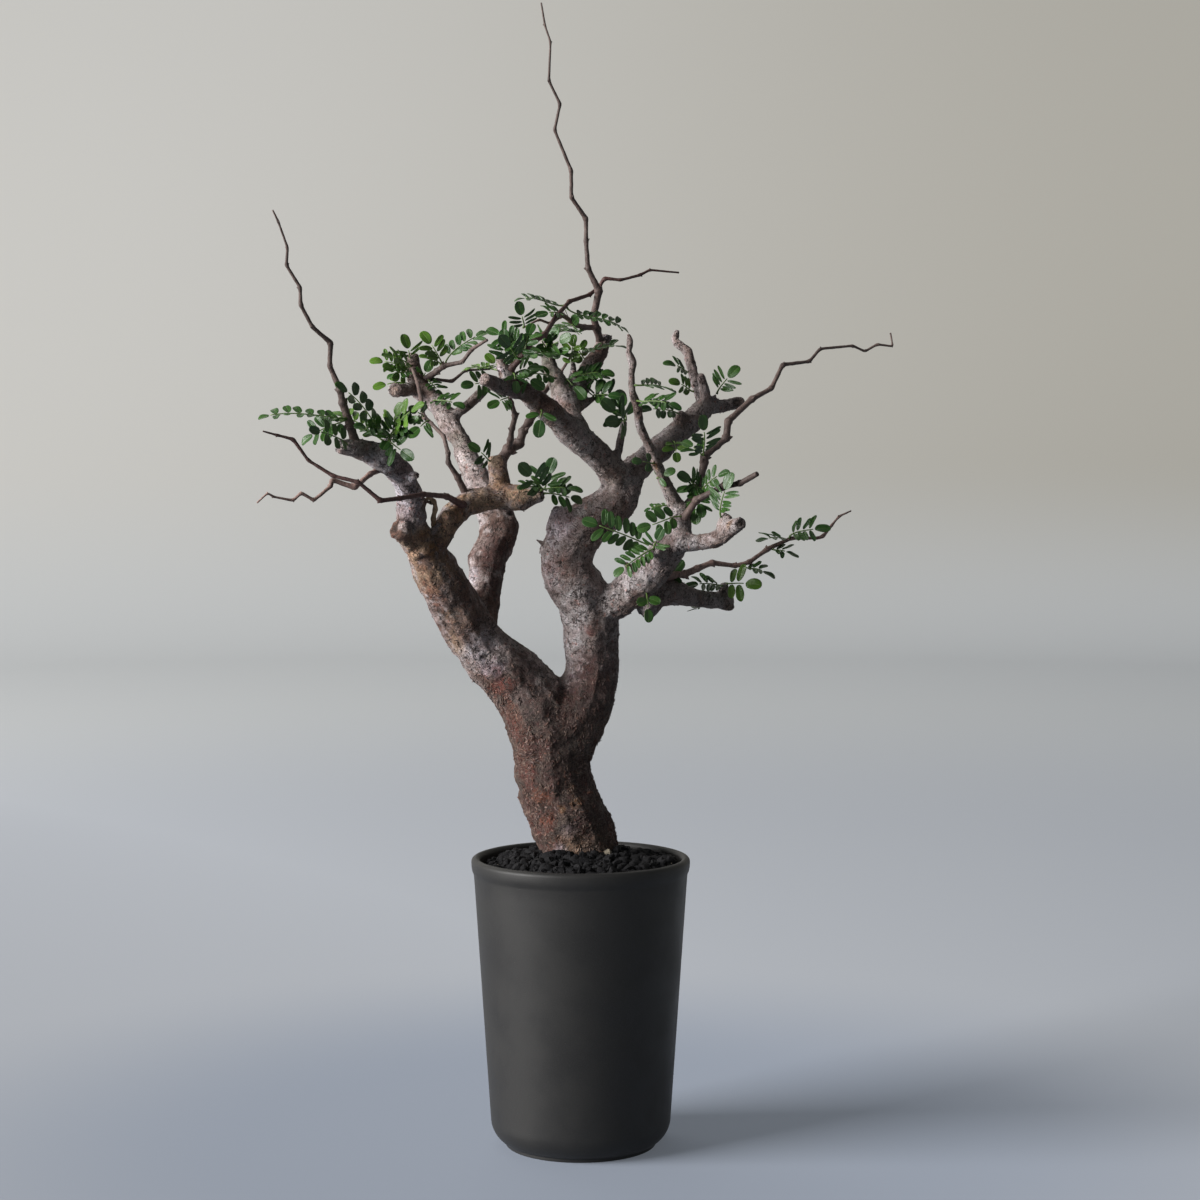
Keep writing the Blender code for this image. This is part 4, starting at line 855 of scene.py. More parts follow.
def pot_profile(top):
    """The pot's section from the floor inside, over the rim and down to the foot: (radius, height)."""
    lip_base = top - LIP_DEPTH
    inside = [(0.0, FLOOR_THICKNESS), (BORE_RADIUS_LOW, FLOOR_THICKNESS), (BORE_RADIUS_TOP, top - 3.0)]
    rim = arc((BORE_RADIUS_TOP + RIM_ROUND_INSIDE, top - RIM_ROUND_INSIDE), RIM_ROUND_INSIDE, 180, 90, 6)
    rim += arc((RIM_RADIUS - RIM_ROUND_OUTSIDE, top - 2.4), RIM_ROUND_OUTSIDE, 84, 0, 6)
    rim += [(RIM_RADIUS - 0.1, top - 5.0), (RIM_RADIUS - 0.55, lip_base + 1.6)]
    rim += [(WALL_RADIUS_TOP + 0.25, lip_base + 0.5), (WALL_RADIUS_TOP, lip_base - 0.8)]
    wall = [
        (WALL_RADIUS_TOP + (WALL_RADIUS_LOW - WALL_RADIUS_TOP) * share,
         lip_base + (CORNER_RADIUS - lip_base) * share)
        for share in np.linspace(0.06, 0.94, 14)
    ]
    corner = arc((WALL_RADIUS_LOW - CORNER_RADIUS, CORNER_RADIUS), CORNER_RADIUS, 0, -60, 10)
    foot = [(FOOT_RADIUS, FOOT_HEIGHT), (FOOT_RADIUS, 0.0), (0.0, 0.0)]
    return rounded(inside, {1: 4.0}) + rim + wall + corner + rounded(foot + [(0, 0)], {1: 0.6})[:-1]


def turned(profile, turns):
    """Points and faces of the profile turned about Z. Its first and last points lie on the axis."""
    rings = [ring(radius, height, turns) for radius, height in profile[1:-1]]
    ends = [(0.0, 0.0, profile[0][1]), (0.0, 0.0, profile[-1][1])]
    return np.concatenate([ends, *rings]), ring_faces(len(rings), turns, 2, (0, 1))


def make_pot():
    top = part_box("pot")[1][2] / MM
    mesh = mesh_from("clay_pot", *turned(pot_profile(top), POT_TURNS))
    pot = new_object("clay_pot", mesh, clay_material(), ["pot"])
    drills = []
    for hole in range(DRAIN_HOLES):
        angle = 2 * math.pi * (hole + 0.25) / DRAIN_HOLES
        bpy.ops.mesh.primitive_cylinder_add(
            vertices=32, radius=DRAIN_HOLE_RADIUS * MM, depth=4 * FLOOR_THICKNESS * MM,
            location=(DRAIN_RING_RADIUS * MM * math.cos(angle), DRAIN_RING_RADIUS * MM * math.sin(angle), 0),
        )
        drills.append(bpy.context.object)
        boolean = pot.modifiers.new(drills[-1].name, "BOOLEAN")
        boolean.operation = "DIFFERENCE"
        boolean.solver = "EXACT"
        boolean.object = drills[-1]
    mesh = modified_mesh(pot)
    pot.modifiers.clear()
    pot.data = mesh
    for drill in drills:
        bpy.data.objects.remove(drill, do_unlink=True)
    mesh.shade_smooth()
    mesh.set_sharp_from_angle(angle=math.radians(50))
    points = mesh_points(mesh)
    edge = step_up(points[:, 2], top - 4.0, top - 0.5) * (0.6 + 0.4 * smooth_noise(points, 7.0, 5))
    add_values(mesh, "edge", np.clip(edge, 0, 1))


# ---------------------------------------------------------------- soil

def soil_height(x, y):
    """The gritty mound's broad height at a place."""
    away = np.hypot(x, y)
    dome = SOIL_CROWN - (SOIL_CROWN - SOIL_EDGE) * (away / SOIL_RADIUS)**1.8
    points = np.stack([x, y, np.zeros_like(x)], axis=-1).reshape(-1, 3)
    lumps = (1.5 * smooth_noise(points, 13.0, 21) + 0.7 * smooth_noise(points, 5.0, 22)).reshape(np.shape(x))
    return dome + lumps * np.clip((SOIL_RADIUS + 4 - away) / 12, 0.35, 1)


def make_soil_bed(material):
    """The mound under the grains: its top, then three rings that follow the pot's inside down."""
    radii = np.linspace(0, SOIL_RADIUS, BED_RINGS + 1)[1:]
    cosines, sines = circle(BED_TURNS)
    x = radii[:, None] * cosines
    y = radii[:, None] * sines
    top = np.stack([x, y, soil_height(x, y) - BED_DROP], axis=-1).reshape(-1, 3)
    floor = FLOOR_THICKNESS + 0.4
    low_rings = ((SOIL_RADIUS - 4.0, 90.0), (BORE_RADIUS_LOW - 0.8, floor + 5), (40.0, floor))
    rows = [ring(radius, height, BED_TURNS) for radius, height in low_rings]
    crown = float(soil_height(np.zeros(1), np.zeros(1))[0]) - BED_DROP
    points = np.concatenate([[(0.0, 0.0, crown), (0.0, 0.0, floor)], top, *rows])
    mesh = mesh_from("soil_bed", points, ring_faces(BED_RINGS + len(rows), BED_TURNS, 2, (0, 1)))
    add_values(mesh, "tone", np.full(len(points), 0.1))
    new_object("soil_bed", mesh, material, ["soil"])


def random_turns(rng, count):
    """Random rotation matrices."""
    q = unit(rng.normal(size=(count, 4)))
    w, x, y, z = q.T
    rows = [
        [1 - 2 * (y * y + z * z), 2 * (x * y - z * w), 2 * (x * z + y * w)],
        [2 * (x * y + z * w), 1 - 2 * (x * x + z * z), 2 * (y * z - x * w)],
        [2 * (x * z - y * w), 2 * (y * z + x * w), 1 - 2 * (x * x + y * y)],
    ]
    return np.moveaxis(np.array(rows), 2, 0)


def make_grains(name, material, count, rng, level, smallest, spread, sink):
    """Crumbs of lava, each its own jagged closed shape, joined in one piece."""
    ball, faces = icosphere(level)
    tries = 3 * count
    away = (SOIL_RADIUS - 1.0) * np.sqrt(rng.random(tries))
    angle = 2 * np.pi * rng.random(tries)
    x, y = away * np.cos(angle), away * np.sin(angle)
    size = smallest + spread * rng.random(tries)**2.0
    clear = np.hypot(x - TRUNK_FOOT[0], y - TRUNK_FOOT[1]) > TRUNK_FOOT_RADIUS
    clear &= away + size < SOIL_RADIUS + 0.2
    x, y, size = x[clear][:count], y[clear][:count], size[clear][:count]
    count = len(x)
    stretch = 0.6 + 0.7 * rng.random((count, 1, 3))
    bumps = smooth_noise((ball[None] + 17.0 * np.arange(count)[:, None, None]).reshape(-1, 3), 0.8, 31)
    shapes = ball[None] * (1 + 0.42 * bumps.reshape(count, -1, 1)) * stretch * size[:, None, None]
    shapes = np.einsum("gij,gvj->gvi", random_turns(rng, count), shapes)
    height = soil_height(x, y) - sink + rng.random(count) * 1.5 + 0.2 * size
    shapes += np.stack([x, y, height], axis=1)[:, None, :]
    mesh = mesh_from(name, shapes.reshape(-1, 3), repeated_faces(faces, count, len(ball)))
    mesh.set_sharp_from_angle(angle=math.radians(38))
    add_values(mesh, "tone", np.repeat(rng.random(count), len(ball)))
    new_object(name, mesh, material)


def make_soil():
    rng = np.random.default_rng(SEED)
    material = grit_material()
    make_soil_bed(material)
    make_grains("soil_grains", material, GRAINS, rng, level=2, smallest=1.1, spread=2.3, sink=1.3)
    make_grains("soil_crumbs", material, CRUMBS, rng, level=1, smallest=0.35, spread=0.8, sink=0.5)


# ---------------------------------------------------------------- wood

def relaxed(points, pairs, weight, rounds):
    """Points moved towards their neighbours' mean, each by its own weight, round after round."""
    count = np.bincount(pairs.ravel(), minlength=len(points))[:, None]
    for _ in range(rounds):
        total = np.empty_like(points)
        for axis in range(3):
            sums = np.bincount(pairs[:, 0], points[pairs[:, 1], axis], len(points))
            total[:, axis] = sums + np.bincount(pairs[:, 1], points[pairs[:, 0], axis], len(points))
        points = points + weight[:, None] * (total / count - points)
    return points


def thickness_of(points, normals, tree):
    """How thick the wood is behind each point, in millimetres."""
    depth = np.empty(len(points))
    for index, (point, normal) in enumerate(zip(points, normals)):
        start = Vector(point) * MM - Vector(normal) * (0.3 * MM)
        hit = tree.ray_cast(start, -Vector(normal))
        depth[index] = hit[3] / MM if hit[3] else 0.0
    return depth


def paint_bark(points, normals, stout):
    """The broad colour, speckle and flakiness of the bark at each point. The colour has painted light on the
    window side, painted shade on the far side and some painted patches of light and shade.
    """
    young = step_up(points[:, 2] + 9 * layered_noise(points, 26.0, 41), 226, 272)
    streaks = layered_noise(points * (1, 1, 0.6), 9.0, 43)
    # The old bark of the trunk.
    old = towards(np.tile(WINE, (len(points), 1)), RED, 0.5 * step_up(streaks, 0.1, 0.9))
    old = towards(old, BROWN, 0.7 * step_up(layered_noise(points, 12.0, 53), 0.1, 0.9))
    old = towards(old, np.array(DARK) * 1.3, 0.85 * step_up(layered_noise(points, 11.0, 45), -0.1, 0.8))
    # The young bark above it.
    new = towards(np.tile(GREY, (len(points), 1)), PALE, step_up(streaks, -0.6, 0.4))
    new = towards(new, np.array(BROWN) * 1.4, 0.6 * step_up(layered_noise(points, 15.0, 47), 0.05, 0.8))
    tint = towards(old, new, young)
    tint = towards(tint, np.array(GREY) * 0.8, 0.45 * (1 - step_up(stout, 5.0, 9.0)))
    specks = 0.56 - 0.26 * young + 0.38 * layered_noise(points, 8.0, 49)
    flaky = np.clip(1.0 - 0.8 * young, 0, 1)
    edge = 0.42 * layered_noise(points, 5.5, 51) + 0.30 * layered_noise(points, 1.9, 55, 2)
    # Painted light: the young bark that faces the window is painted lighter, towards near-white.
    painted_window_light = young * step_up(-normals[:, 0] + 0.3 * edge, 0.15, 0.95)
    tint = towards(tint, SILVER_AND_PAINTED_HIGHLIGHT, WINDOW_SIDE_PAINTED_LIGHT * painted_window_light)
    for x, y, z, radius, colour, strength in TINTS:
        away = np.linalg.norm(points - np.array((x, y, z)), axis=1) / radius + edge
        tint = towards(tint, colour, strength * (1 - step_up(away, 0.35, 1.25)))
    # Painted shade: the bark on the side away from the window is painted darker and browner.
    painted_far_shade = step_up(normals[:, 0] + 0.3 * edge, -0.3, 0.5)[:, None]
    tint *= 1 - FAR_SIDE_PAINTED_SHADE * painted_far_shade * np.array((0.85, 0.95, 1.0))
    return tint, specks, flaky


def mark_bark(points, relief, tint, specks):
    """Healed cuts, hollows, pits and knobs: each changes the bark about its own middle."""
    wobble = 1 + 0.18 * smooth_noise(points, 2.6, 61)
    marks = [(kind, *mark) for kind, rows in MARKS.items() for mark in rows]
    for kind, x, y, z, radius, height in marks:
        away = np.linalg.norm(points - np.array((x, y, z)), axis=1) * wobble / radius
        near = away < 2.2
        d = away[near]
        if kind == "knob":
            relief[near] += height * (1 - step_up(d, 0.0, 1.1))
        elif kind == "cut":
            face = 1 - step_up(d, 0.55, 0.8)
            roll = np.exp(-((d - 0.95) / 0.22)**2)
            crack = np.exp(-((d - 0.68) / 0.09)**2)
            relief[near] += height * roll - 0.8 * height * face
            tint[near] = towards(towards(tint[near], CUT, 0.8 * face), DARK, 0.85 * crack)
            specks[near] *= 1 - 0.7 * face
        else:
            dip = 1 - step_up(d, 0.25, 0.8 if kind == "hollow" else 1.0)
            relief[near] -= height * dip
            if kind == "hollow":
                relief[near] += 0.35 * height * np.exp(-((d - 1.05) / 0.25)**2)
            # Painted shade: the bottoms of pits and hollows are darkened nearly to black.
            tint[near] = towards(tint[near], np.array(DARK) * 0.4, 0.95 * dip)


def make_wood():
    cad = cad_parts["trunk_and_limbs"]
    coarse = placed("coarse_wood", cad.data.copy())
    refine = coarse.modifiers.new("Refine", "REMESH")
    refine.mode = "VOXEL"
    refine.voxel_size = WOOD_VOXEL * MM
    mesh = modified_mesh(coarse)
    bpy.data.objects.remove(coarse, do_unlink=True)
    mesh.name = "fine_wood"
    points = mesh_points(mesh)
    thick = thickness_of(points, mesh_normals(mesh), tree_of([cad.data]))
    pairs = read_rows(mesh.edges, "vertices", np.int64, 2)
    # The remesh's steps are smoothed away: each round shrinks the wood and then swells it back.
    weight = 0.22 + 0.28 * step_up(thick, 3.0, 14.0)
    for _ in range(SMOOTHING_ROUNDS):
        points = relaxed(points, pairs, weight, 1)
        points = relaxed(points, pairs, -0.94 * weight, 1)
    stout = relaxed(np.repeat(thick[:, None], 3, axis=1), pairs, np.full(len(points), 0.5), 6)[:, 0]
    set_points(mesh, points)
    normals = mesh_normals(mesh)
    tint, specks, flaky = paint_bark(points, normals, stout)
    # Less relief where the wood is thin.
    room = np.clip(stout / 12.0, 0.18, 1.0)
    rough = 0.30 + 0.10 * flaky
    relief = room * (1.2 * layered_noise(points, 17.0, 1) + rough * layered_noise(points, 5.0, 2, 2))
    wart = cell_spots(points, 4.6, 0.30, 3)
    relief += (0.40 + 0.30 * flaky) * np.clip(room * 1.6, 0, 1) * (1 - step_up(wart, 0.0, 0.30))
    scaly = layered_noise(points * (1, 1, 0.7), 2.4, 5, 2)
    relief += (0.16 + 0.26 * flaky) * np.clip(room * 2, 0, 1) * np.abs(scaly) - 0.7 * flaky
    mark_bark(points, relief, tint, specks)
    set_points(mesh, points + normals * relief[:, None])
    mesh.shade_smooth()
    add_values(mesh, "tint", np.clip(tint, 0.004, 1))
    add_values(mesh, "specks", np.clip(specks, 0, 1))
    add_values(mesh, "flaky", flaky)
    new_object("wood", mesh, bark_material(), ["trunk_and_limbs"])
    return mesh, tint, flaky, stout


def surface_spots(weight, count, rng):
    """Random vertices, more of them where the weight is high."""
    chance = np.cumsum(weight)
    return np.searchsorted(chance, rng.random(count) * chance[-1])


def scatter(name, mesh, spots, shape, faces, size, lift, tints, rng, material):
    """One piece made of small copies of a closed shape, laid on the surface at the spots."""
    points = mesh_points(mesh)[spots]
    normals = mesh_normals(mesh)[spots]
    turn = unit(np.cross(normals, rng.normal(size=normals.shape)))
    side = np.cross(normals, turn)
    axes = np.stack([turn, side, normals], axis=1)
    copies = np.einsum("gvi,gij->gvj", shape * size[:, None, :], axes)
    copies += (points + normals * lift[:, None])[:, None, :]
    corners = shape.shape[1]
    made = mesh_from(name, copies.reshape(-1, 3), repeated_faces(faces, len(spots), corners))
    add_values(made, "tint", np.repeat(tints, corners, axis=0))
    new_object(name, made, material)


def flake_shape(count, rng):
    """Small curled strips, two rows of points along the top and two below: all closed."""
    columns = 2
    under = FLAKE_ROWS * columns
    u, v = np.meshgrid(np.linspace(-1, 1, FLAKE_ROWS), (-1.0, 1.0), indexing="ij")
    flat = np.stack([u.ravel(), v.ravel(), np.zeros(under)], axis=1)
    points = np.repeat(flat[None], count, axis=0)
    bend = rng.normal(size=(count, 1)) * (points[..., 0]**2 - 0.4)
    points[..., 1] = points[..., 1] * (1 - 0.6 * points[..., 0]**2) + 1.1 * bend
    points[..., :2] += 0.08 * rng.normal(size=(count, under, 2))
    curl = 0.9 * rng.random((count, 1))
    points[..., 2] = 0.35 * curl * (points[..., 0] + 1)**2
    below = points.copy()
    below[..., 2] -= 0.7
    left = range(0, under, columns)
    faces = []
    for low in left[:-1]:
        quad = (low, low + 2, low + 3, low + 1)
        faces += [quad, tuple(index + under for index in reversed(quad))]
    rim = [*left, *(index + 1 for index in reversed(left))]
    for here, after in zip(rim, rim[1:] + rim[:1]):
        faces.append((after, here, here + under, after + under))
    return np.concatenate([points, below], axis=1), faces


def make_bark_scales(mesh, tint, flaky, stout):
    """Loose scales on the old bark and small warts on the young bark."""
    rng = np.random.default_rng(SEED + 3)
    material = flake_material()
    fewer = 1
    points = mesh_points(mesh)
    patchy = 0.25 + step_up(layered_noise(points, 9.0, 81), -0.4, 0.6)
    patchy *= step_up(points[:, 2], 156.0, 160.0)

    count = FLAKES // fewer
    spots = surface_spots(patchy * (0.03 + flaky**1.5) * step_up(stout, 5, 9), count, rng)
    shape, faces = flake_shape(count, rng)
    length = 0.6 + 0.9 * rng.random(count)
    width = 0.15 + 0.20 * rng.random(count)
    size = np.stack([length, width, 0.20 + 0.20 * rng.random(count)], axis=1)
    own = SCALE_COLOURS[rng.choice(len(SCALE_COLOURS), size=count, p=SCALE_SHARES)]
    # Each scale takes part of the bark's colour under it, with that colour's painted light and shade.
    tints = (0.55 * own + 0.45 * tint[spots]) * (0.5 + 0.9 * rng.random((count, 1)))
    lift = 0.05 + 0.10 * rng.random(count)
    scatter("bark_scales", mesh, spots, shape, faces, size, lift, tints, rng, material)

    count = WARTS // fewer
    spots = surface_spots(patchy * (1.15 - flaky) * step_up(stout, 3, 7), count, rng)
    ball, faces = icosphere(1)
    shape = ball[None] * (1 + 0.25 * rng.normal(size=(count, len(ball), 1)).clip(-1.2, 1.2))
    size = (0.30 + 0.45 * rng.random((count, 1))**1.5) * np.array((1.0, 0.8, 0.6))
    # Each wart takes part of the bark's colour under it, with that colour's painted light and shade.
    tints = tint[spots] * 0.35 + np.array(DARK) * 0.8
    tints += 0.06 * rng.random((count, 1)) * np.array((1, 0.5, 0.35))
    scatter("bark_warts", mesh, spots, shape, faces, size, np.zeros(count), tints, rng, material)


# ---------------------------------------------------------------- shoots

def fine_route(route):
    """A shoot's route in short steps, its corners eased, with a radius that swells at each node."""
    knots = np.array(route, float)
    lengths = np.linalg.norm(np.diff(knots[:, :3], axis=0), axis=1)
    along = np.concatenate([[0], np.cumsum(lengths)])
    count = max(8, int(along[-1] / SHOOT_STEP))
    spots = np.linspace(0, along[-1], count)
    fine = np.stack([np.interp(spots, along, knots[:, k]) for k in range(4)], axis=1)
    for _ in range(4):
        fine[1:-1, :3] = (fine[:-2, :3] + 2 * fine[1:-1, :3] + fine[2:, :3]) / 4
    swell = sum(np.exp(-((spots - place) / 1.3)**2) for place in along[1:-1])
    fine[:, 3] *= 0.88 + 0.26 * swell
    fine[:, 3] *= 1 + 0.25 * np.exp(-(spots / 3.0)**2)
    return fine, along[1:-1], spots


def tube(route, sides, rng, lumps=0.10):
    """A closed lumpy tube through (x, y, z, radius) rows: points and faces."""
    places = route[:, :3]
    ahead = unit(np.gradient(places, axis=0))
    side = np.cross(ahead[0], (0.3, 0.9, 0.2))
    across = []
    for direction in ahead:
        side = unit(side - direction * np.dot(side, direction))
        across.append(side)
    across = np.array(across)[:, None]
    up = np.cross(ahead, across[:, 0])[:, None]
    cosines, sines = circle(sides)
    ring = across * cosines[None, :, None] + up * sines[None, :, None]
    points = (places[:, None] + ring * route[:, 3][:, None, None]).reshape(-1, 3)
    shift = lumps * smooth_noise(points, 2.0, int(rng.integers(1, 99)))
    points = points + ring.reshape(-1, 3) * (shift[:, None] * np.repeat(route[:, 3], sides)[:, None])
    end = len(points)
    points = np.concatenate([points, places[:1], places[-1:]])
    # These rings run the other way round, so each face is turned over.
    faces = [(face[0], *face[:0:-1]) for face in ring_faces(len(route), sides, 0, (end, end + 1))]
    return points, faces


def bud(place, direction, size):
    """A small pointed bud as a short tapering route."""
    shape = np.array([0.75, 1.0, 0.95, 0.7, 0.4, 0.08])
    steps = np.linspace(0, 1, len(shape))
    places = place + direction * (steps[:, None] * size * 2.4)
    return np.concatenate([places, (shape * size)[:, None]], axis=1)


def make_shoots(material):
    rng = np.random.default_rng(SEED + 1)
    for name, route in SHOOTS.items():
        fine, nodes, spots = fine_route(route)
        parts = [tube(fine, SHOOT_SIDES, rng)]
        turn = rng.random() * 6
        for place in nodes:
            index = int(np.argmin(np.abs(spots - place)))
            ahead = unit(fine[min(index + 1, len(fine) - 1), :3] - fine[index - 1, :3])
            turn += 2.4 + 0.6 * rng.random()
            side = unit(np.cross(ahead, (math.cos(turn), math.sin(turn), 0.35)))
            radius = fine[index, 3]
            start = fine[index, :3] + side * (0.55 * radius)
            size = max(0.42, 0.42 * radius)
            parts.append(tube(bud(start, unit(side + 0.7 * ahead), size), BUD_SIDES, rng, 0.04))
        points, faces = merged(parts)
        mesh = mesh_from(name + "_bark", points, faces)
        fade = step_up(smooth_noise(points, 14.0, 71), -0.6, 0.6)[:, None]
        add_values(mesh, "tint", np.array(SHOOT_COLOURS.get(name, SHOOT_COLOUR)) * (0.75 + 0.5 * fade))
        new_object(name + "_bark", mesh, material, [name])
    points, faces = tube(fine_route(DEAD_TWIG)[0], SHOOT_SIDES, rng, 0.16)
    mesh = mesh_from("dead_twig", points, faces)
    add_values(mesh, "tint", np.tile(TAN, (len(points), 1)))
    new_object("dead_twig", mesh, material)


# ---------------------------------------------------------------- leaves

def leaf_facing(direction, tilt):
    """The way a leaf's upper face looks: at the front for tilt 0, up for tilt 90."""
    front = np.array((0.0, -1.0, 0.0))
    front = unit(front - direction * np.dot(direction, front))
    up = np.cross(direction, front)
    if up[2] < 0:
        up = -up
    return front * math.cos(math.radians(tilt)) + up * math.sin(math.radians(tilt))


def bezier(points, share):
    a, b, c, d = points
    rest = 1 - share
    return a * rest**3 + b * 3 * rest**2 * share + c * 3 * rest * share**2 + d * share**3


def leaflet_faces():
    """Faces of a leaflet's grid: the upper sheet, then a lower sheet that shares its rim."""
    rows, columns = LEAFLET_ROWS, LEAFLET_COLUMNS
    upper = np.arange(rows * columns).reshape(rows, columns)
    lower = upper.copy()
    inner = (rows - 2) * (columns - 2)
    lower[1:-1, 1:-1] = rows * columns + np.arange(inner).reshape(rows - 2, columns - 2)
    faces = []
    for row, column in itertools.product(range(rows - 1), range(columns - 1)):
        corners = ((row, column), (row + 1, column), (row + 1, column + 1), (row, column + 1))
        faces.append(tuple(int(upper[c]) for c in corners))
        faces.append(tuple(int(lower[c]) for c in reversed(corners)))
    return faces


def leaflet(root, along, across, face, length, width, rng):
    """One oblong leaflet, cupped along its midrib and bent back at its tip.

    Gives its points, each one's distance from the midrib, and which are on the underside.
    """
    t = 0.5 - 0.5 * np.cos(np.pi * np.linspace(0, 1, LEAFLET_ROWS))[:, None]
    s = np.sin(0.5 * np.pi * np.linspace(-1, 1, LEAFLET_COLUMNS))[None, :]
    outline = np.maximum(1 - np.abs(2 * t - 1)**2.3, 0)**0.5 * (0.86 + 0.2 * t)
    outline = np.maximum(outline, 0.05)
    x = length * (0.10 + 0.90 * t) + 0 * s
    y = 0.5 * width * outline * s
    fold = 0.16 + 0.16 * rng.random()
    curl = 0.05 + 0.16 * rng.random()
    wave = 0.03 * length * np.sin(7 * t + 6 * rng.random()) * s**2
    z = fold * np.abs(y) * (1 - 0.35 * np.abs(s)) - curl * length * t**2 + wave
    top = root + x[..., None] * along + y[..., None] * across + z[..., None] * face
    low = top[1:-1, 1:-1] - face * LEAFLET_THICKNESS
    rim = np.abs(s) + 0 * t
    inner = rim[1:-1, 1:-1]
    points = np.concatenate([top.reshape(-1, 3), low.reshape(-1, 3)])
    below = np.concatenate([np.zeros(rim.size), np.ones(inner.size)])
    return points, np.concatenate([rim.ravel(), inner.ravel()]), below


def leaflet_places(route, face, length, pairs, size, rng):
    """Where each leaflet sits on the stalk: its root, its direction, the stalk's direction and its length."""
    step = (1 - BARE_STALK) / pairs
    places = []
    for pair in range(pairs):
        share = BARE_STALK + step * (pair + 0.35)
        grow = size * (0.82 + 0.18 * pair / max(1, pairs - 1))
        for sign in (-1, 1):
            spot = share + 0.06 * step * sign
            root = bezier(route, spot)
            ahead = unit(bezier(route, spot + 0.01) - root)
            side = unit(np.cross(ahead, face)) * sign
            lift = LEAFLET_LIFT + 0.26 * (rng.random() - 0.5)
            sweep = LEAFLET_SWEEP + 0.30 * (rng.random() - 0.5)
            out = side * math.cos(lift) + face * math.sin(lift)
            along = unit(out * math.cos(sweep) + ahead * math.sin(sweep))
            places.append((root, along, ahead, grow * (0.92 + 0.16 * rng.random())))
    ahead = unit(route[3] - bezier(route, 0.98))
    places.append((route[3], ahead, unit(np.cross(face, ahead)), 0.95 * size))
    return places, min(0.66 * size, 1.04 * step * length)


def make_leaf(name, leaf, stems, leaflet_grid, materials, replaced, rng):
    """A compound leaf: its stalk, pairs of leaflets along it and one more at the tip."""
    pairs, size, tilt, age = leaf[6:]
    size = LEAFLET_GROWTH * size
    place, outward, _, _ = stems.find_nearest(Vector(leaf[:3]) * MM)
    outward = np.array(outward)
    start = np.array(place) / MM + outward * 0.1
    tip = np.array(leaf[3:6], float)
    direction = unit(tip - start)
    face = leaf_facing(direction, tilt)
    end = tip - direction * (0.9 * size)
    length = np.linalg.norm(end - start)
    rise = face * (LEAF_ARCH * length)
    bend = start + (outward + direction) * (0.16 * length)
    route = [start, bend, start + (end - start) * 0.62 + rise, end]
    shares = np.linspace(0, 1, max(10, int(length / 1.2)))
    stalk = np.array([bezier(route, share) for share in shares])
    stalk[0] = start - outward * 0.6
    radius = np.interp(shares, [0, 0.06, 1], [0.75, 0.5, 0.3])[:, None]
    points, faces = tube(np.concatenate([stalk, radius], axis=1), STALK_SIDES, rng, 0.05)
    parts = [(points, faces)]
    # For each part: the tone, the distance from the midrib, the underside and the stalk.
    values = [np.tile((0.5, 0.5, 0.0, 1.0), (len(points), 1))]
    places, width = leaflet_places(route, face, length, pairs, size, rng)
    for number, (root, along, ahead, grow) in enumerate(places, start=1):
        across = unit(ahead - along * np.dot(ahead, along))
        up = unit(np.cross(along, across))
        if np.dot(up, face) < 0:
            across, up = -across, -up
        roll = 0.5 * (rng.random() - 0.5)
        c, s = math.cos(roll), math.sin(roll)
        across, up = across * c + up * s, up * c - across * s
        wide = 0.62 * size if number == len(places) else width * (0.94 + 0.12 * rng.random())
        points, midrib, below = leaflet(root, along, across, up, grow, wide, rng)
        parts.append((points, leaflet_grid))
        tone = np.full(len(points), rng.random())
        values.append(np.stack([tone, midrib, below, 0 * tone], axis=1))
    mesh = mesh_from(name, *merged(parts))
    for key, column in zip(("tone", "across", "below", "stalk"), np.concatenate(values).T):
        add_values(mesh, key, column)
    new_object(name, mesh, materials[age], replaced)


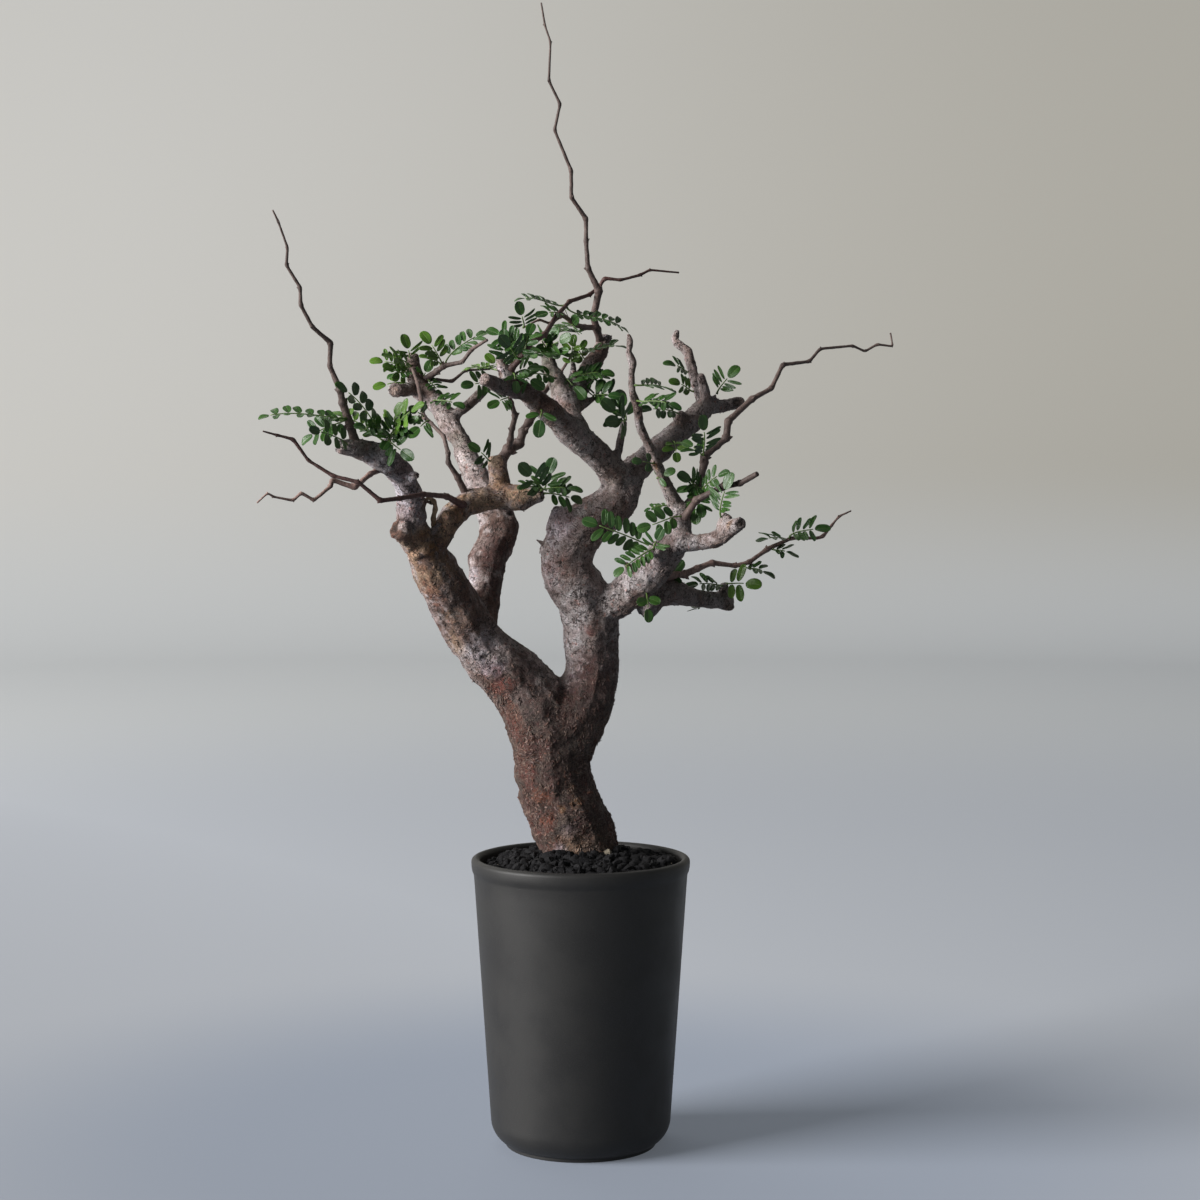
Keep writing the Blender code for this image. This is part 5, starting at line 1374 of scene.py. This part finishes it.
def make_leaves():
    rng = np.random.default_rng(SEED + 2)
    materials = {age: leaf_material(age, *colours) for age, colours in LEAF_COLOURS.items()}
    stems = tree_of([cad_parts[name].data for name in ("trunk_and_limbs", *SHOOTS)])
    grid = leaflet_faces()
    for number, leaf in enumerate(LEAVES + SMALL_LEAVES, start=1):
        replaced = [f"leaf_{number:02d}"] if number <= len(LEAVES) else ()
        make_leaf(f"leaflets_{number:02d}", leaf, stems, grid, materials, replaced, rng)


# ---------------------------------------------------------------- studio

def make_stage():
    """A pale floor that curves up into a round wall on all sides, in metres."""
    profile = [(r, 0.0) for r in (0.4, 1.2, 2.4, STAGE_RADIUS)]
    profile += arc((STAGE_RADIUS, STAGE_CORNER), STAGE_CORNER, -90, 0, 16)[1:]
    profile.append((STAGE_RADIUS + STAGE_CORNER, STAGE_HEIGHT))
    points = np.concatenate([[(0.0, 0.0, 0.0)], *(ring(radius, z, STAGE_TURNS) for radius, z in profile)])
    mesh = bpy.data.meshes.new("studio")
    mesh.from_pydata(points.tolist(), [], ring_faces(len(profile), STAGE_TURNS, 1, (0,)))
    mesh.shade_smooth()
    mesh.materials.append(stage_material())
    studio = placed("studio", mesh)
    # The paper sends no light back onto the plant, so the far sides stay as dark as in a deep room.
    studio.visible_diffuse = False


def make_light(name, place, aim, size, power, colour):
    data = bpy.data.lights.new(name, "AREA")
    data.shape = "RECTANGLE"
    data.size, data.size_y = size
    data.energy = power
    data.color = colour
    light = placed(name, data)
    light.location = place
    light.rotation_mode = "QUATERNION"
    light.rotation_quaternion = (Vector(aim) - Vector(place)).to_track_quat("-Z", "Y")
    light.visible_camera = False


def make_studio():
    make_stage()
    for name, light in LIGHTS.items():
        make_light(name, *light)
    world = bpy.data.worlds.new("room_light")
    world.use_nodes = True
    background = world.node_tree.nodes["Background"]
    background.inputs["Color"].default_value = WORLD_COLOUR
    background.inputs["Strength"].default_value = WORLD_STRENGTH
    bpy.context.scene.world = world


def make_camera():
    data = bpy.data.cameras.new("camera")
    data.sensor_width = CAMERA_SENSOR
    data.lens = CAMERA_LENS
    camera = placed("camera", data)
    camera.location = CAMERA_PLACE
    camera.rotation_euler = (math.pi / 2 - CAMERA_PITCH, 0, 0)
    bpy.context.scene.camera = camera
    bpy.context.scene.view_settings.view_transform = "Standard"


make_camera()
make_studio()
make_pot()
make_soil()
make_bark_scales(*make_wood())
make_shoots(stem_material())
make_leaves()
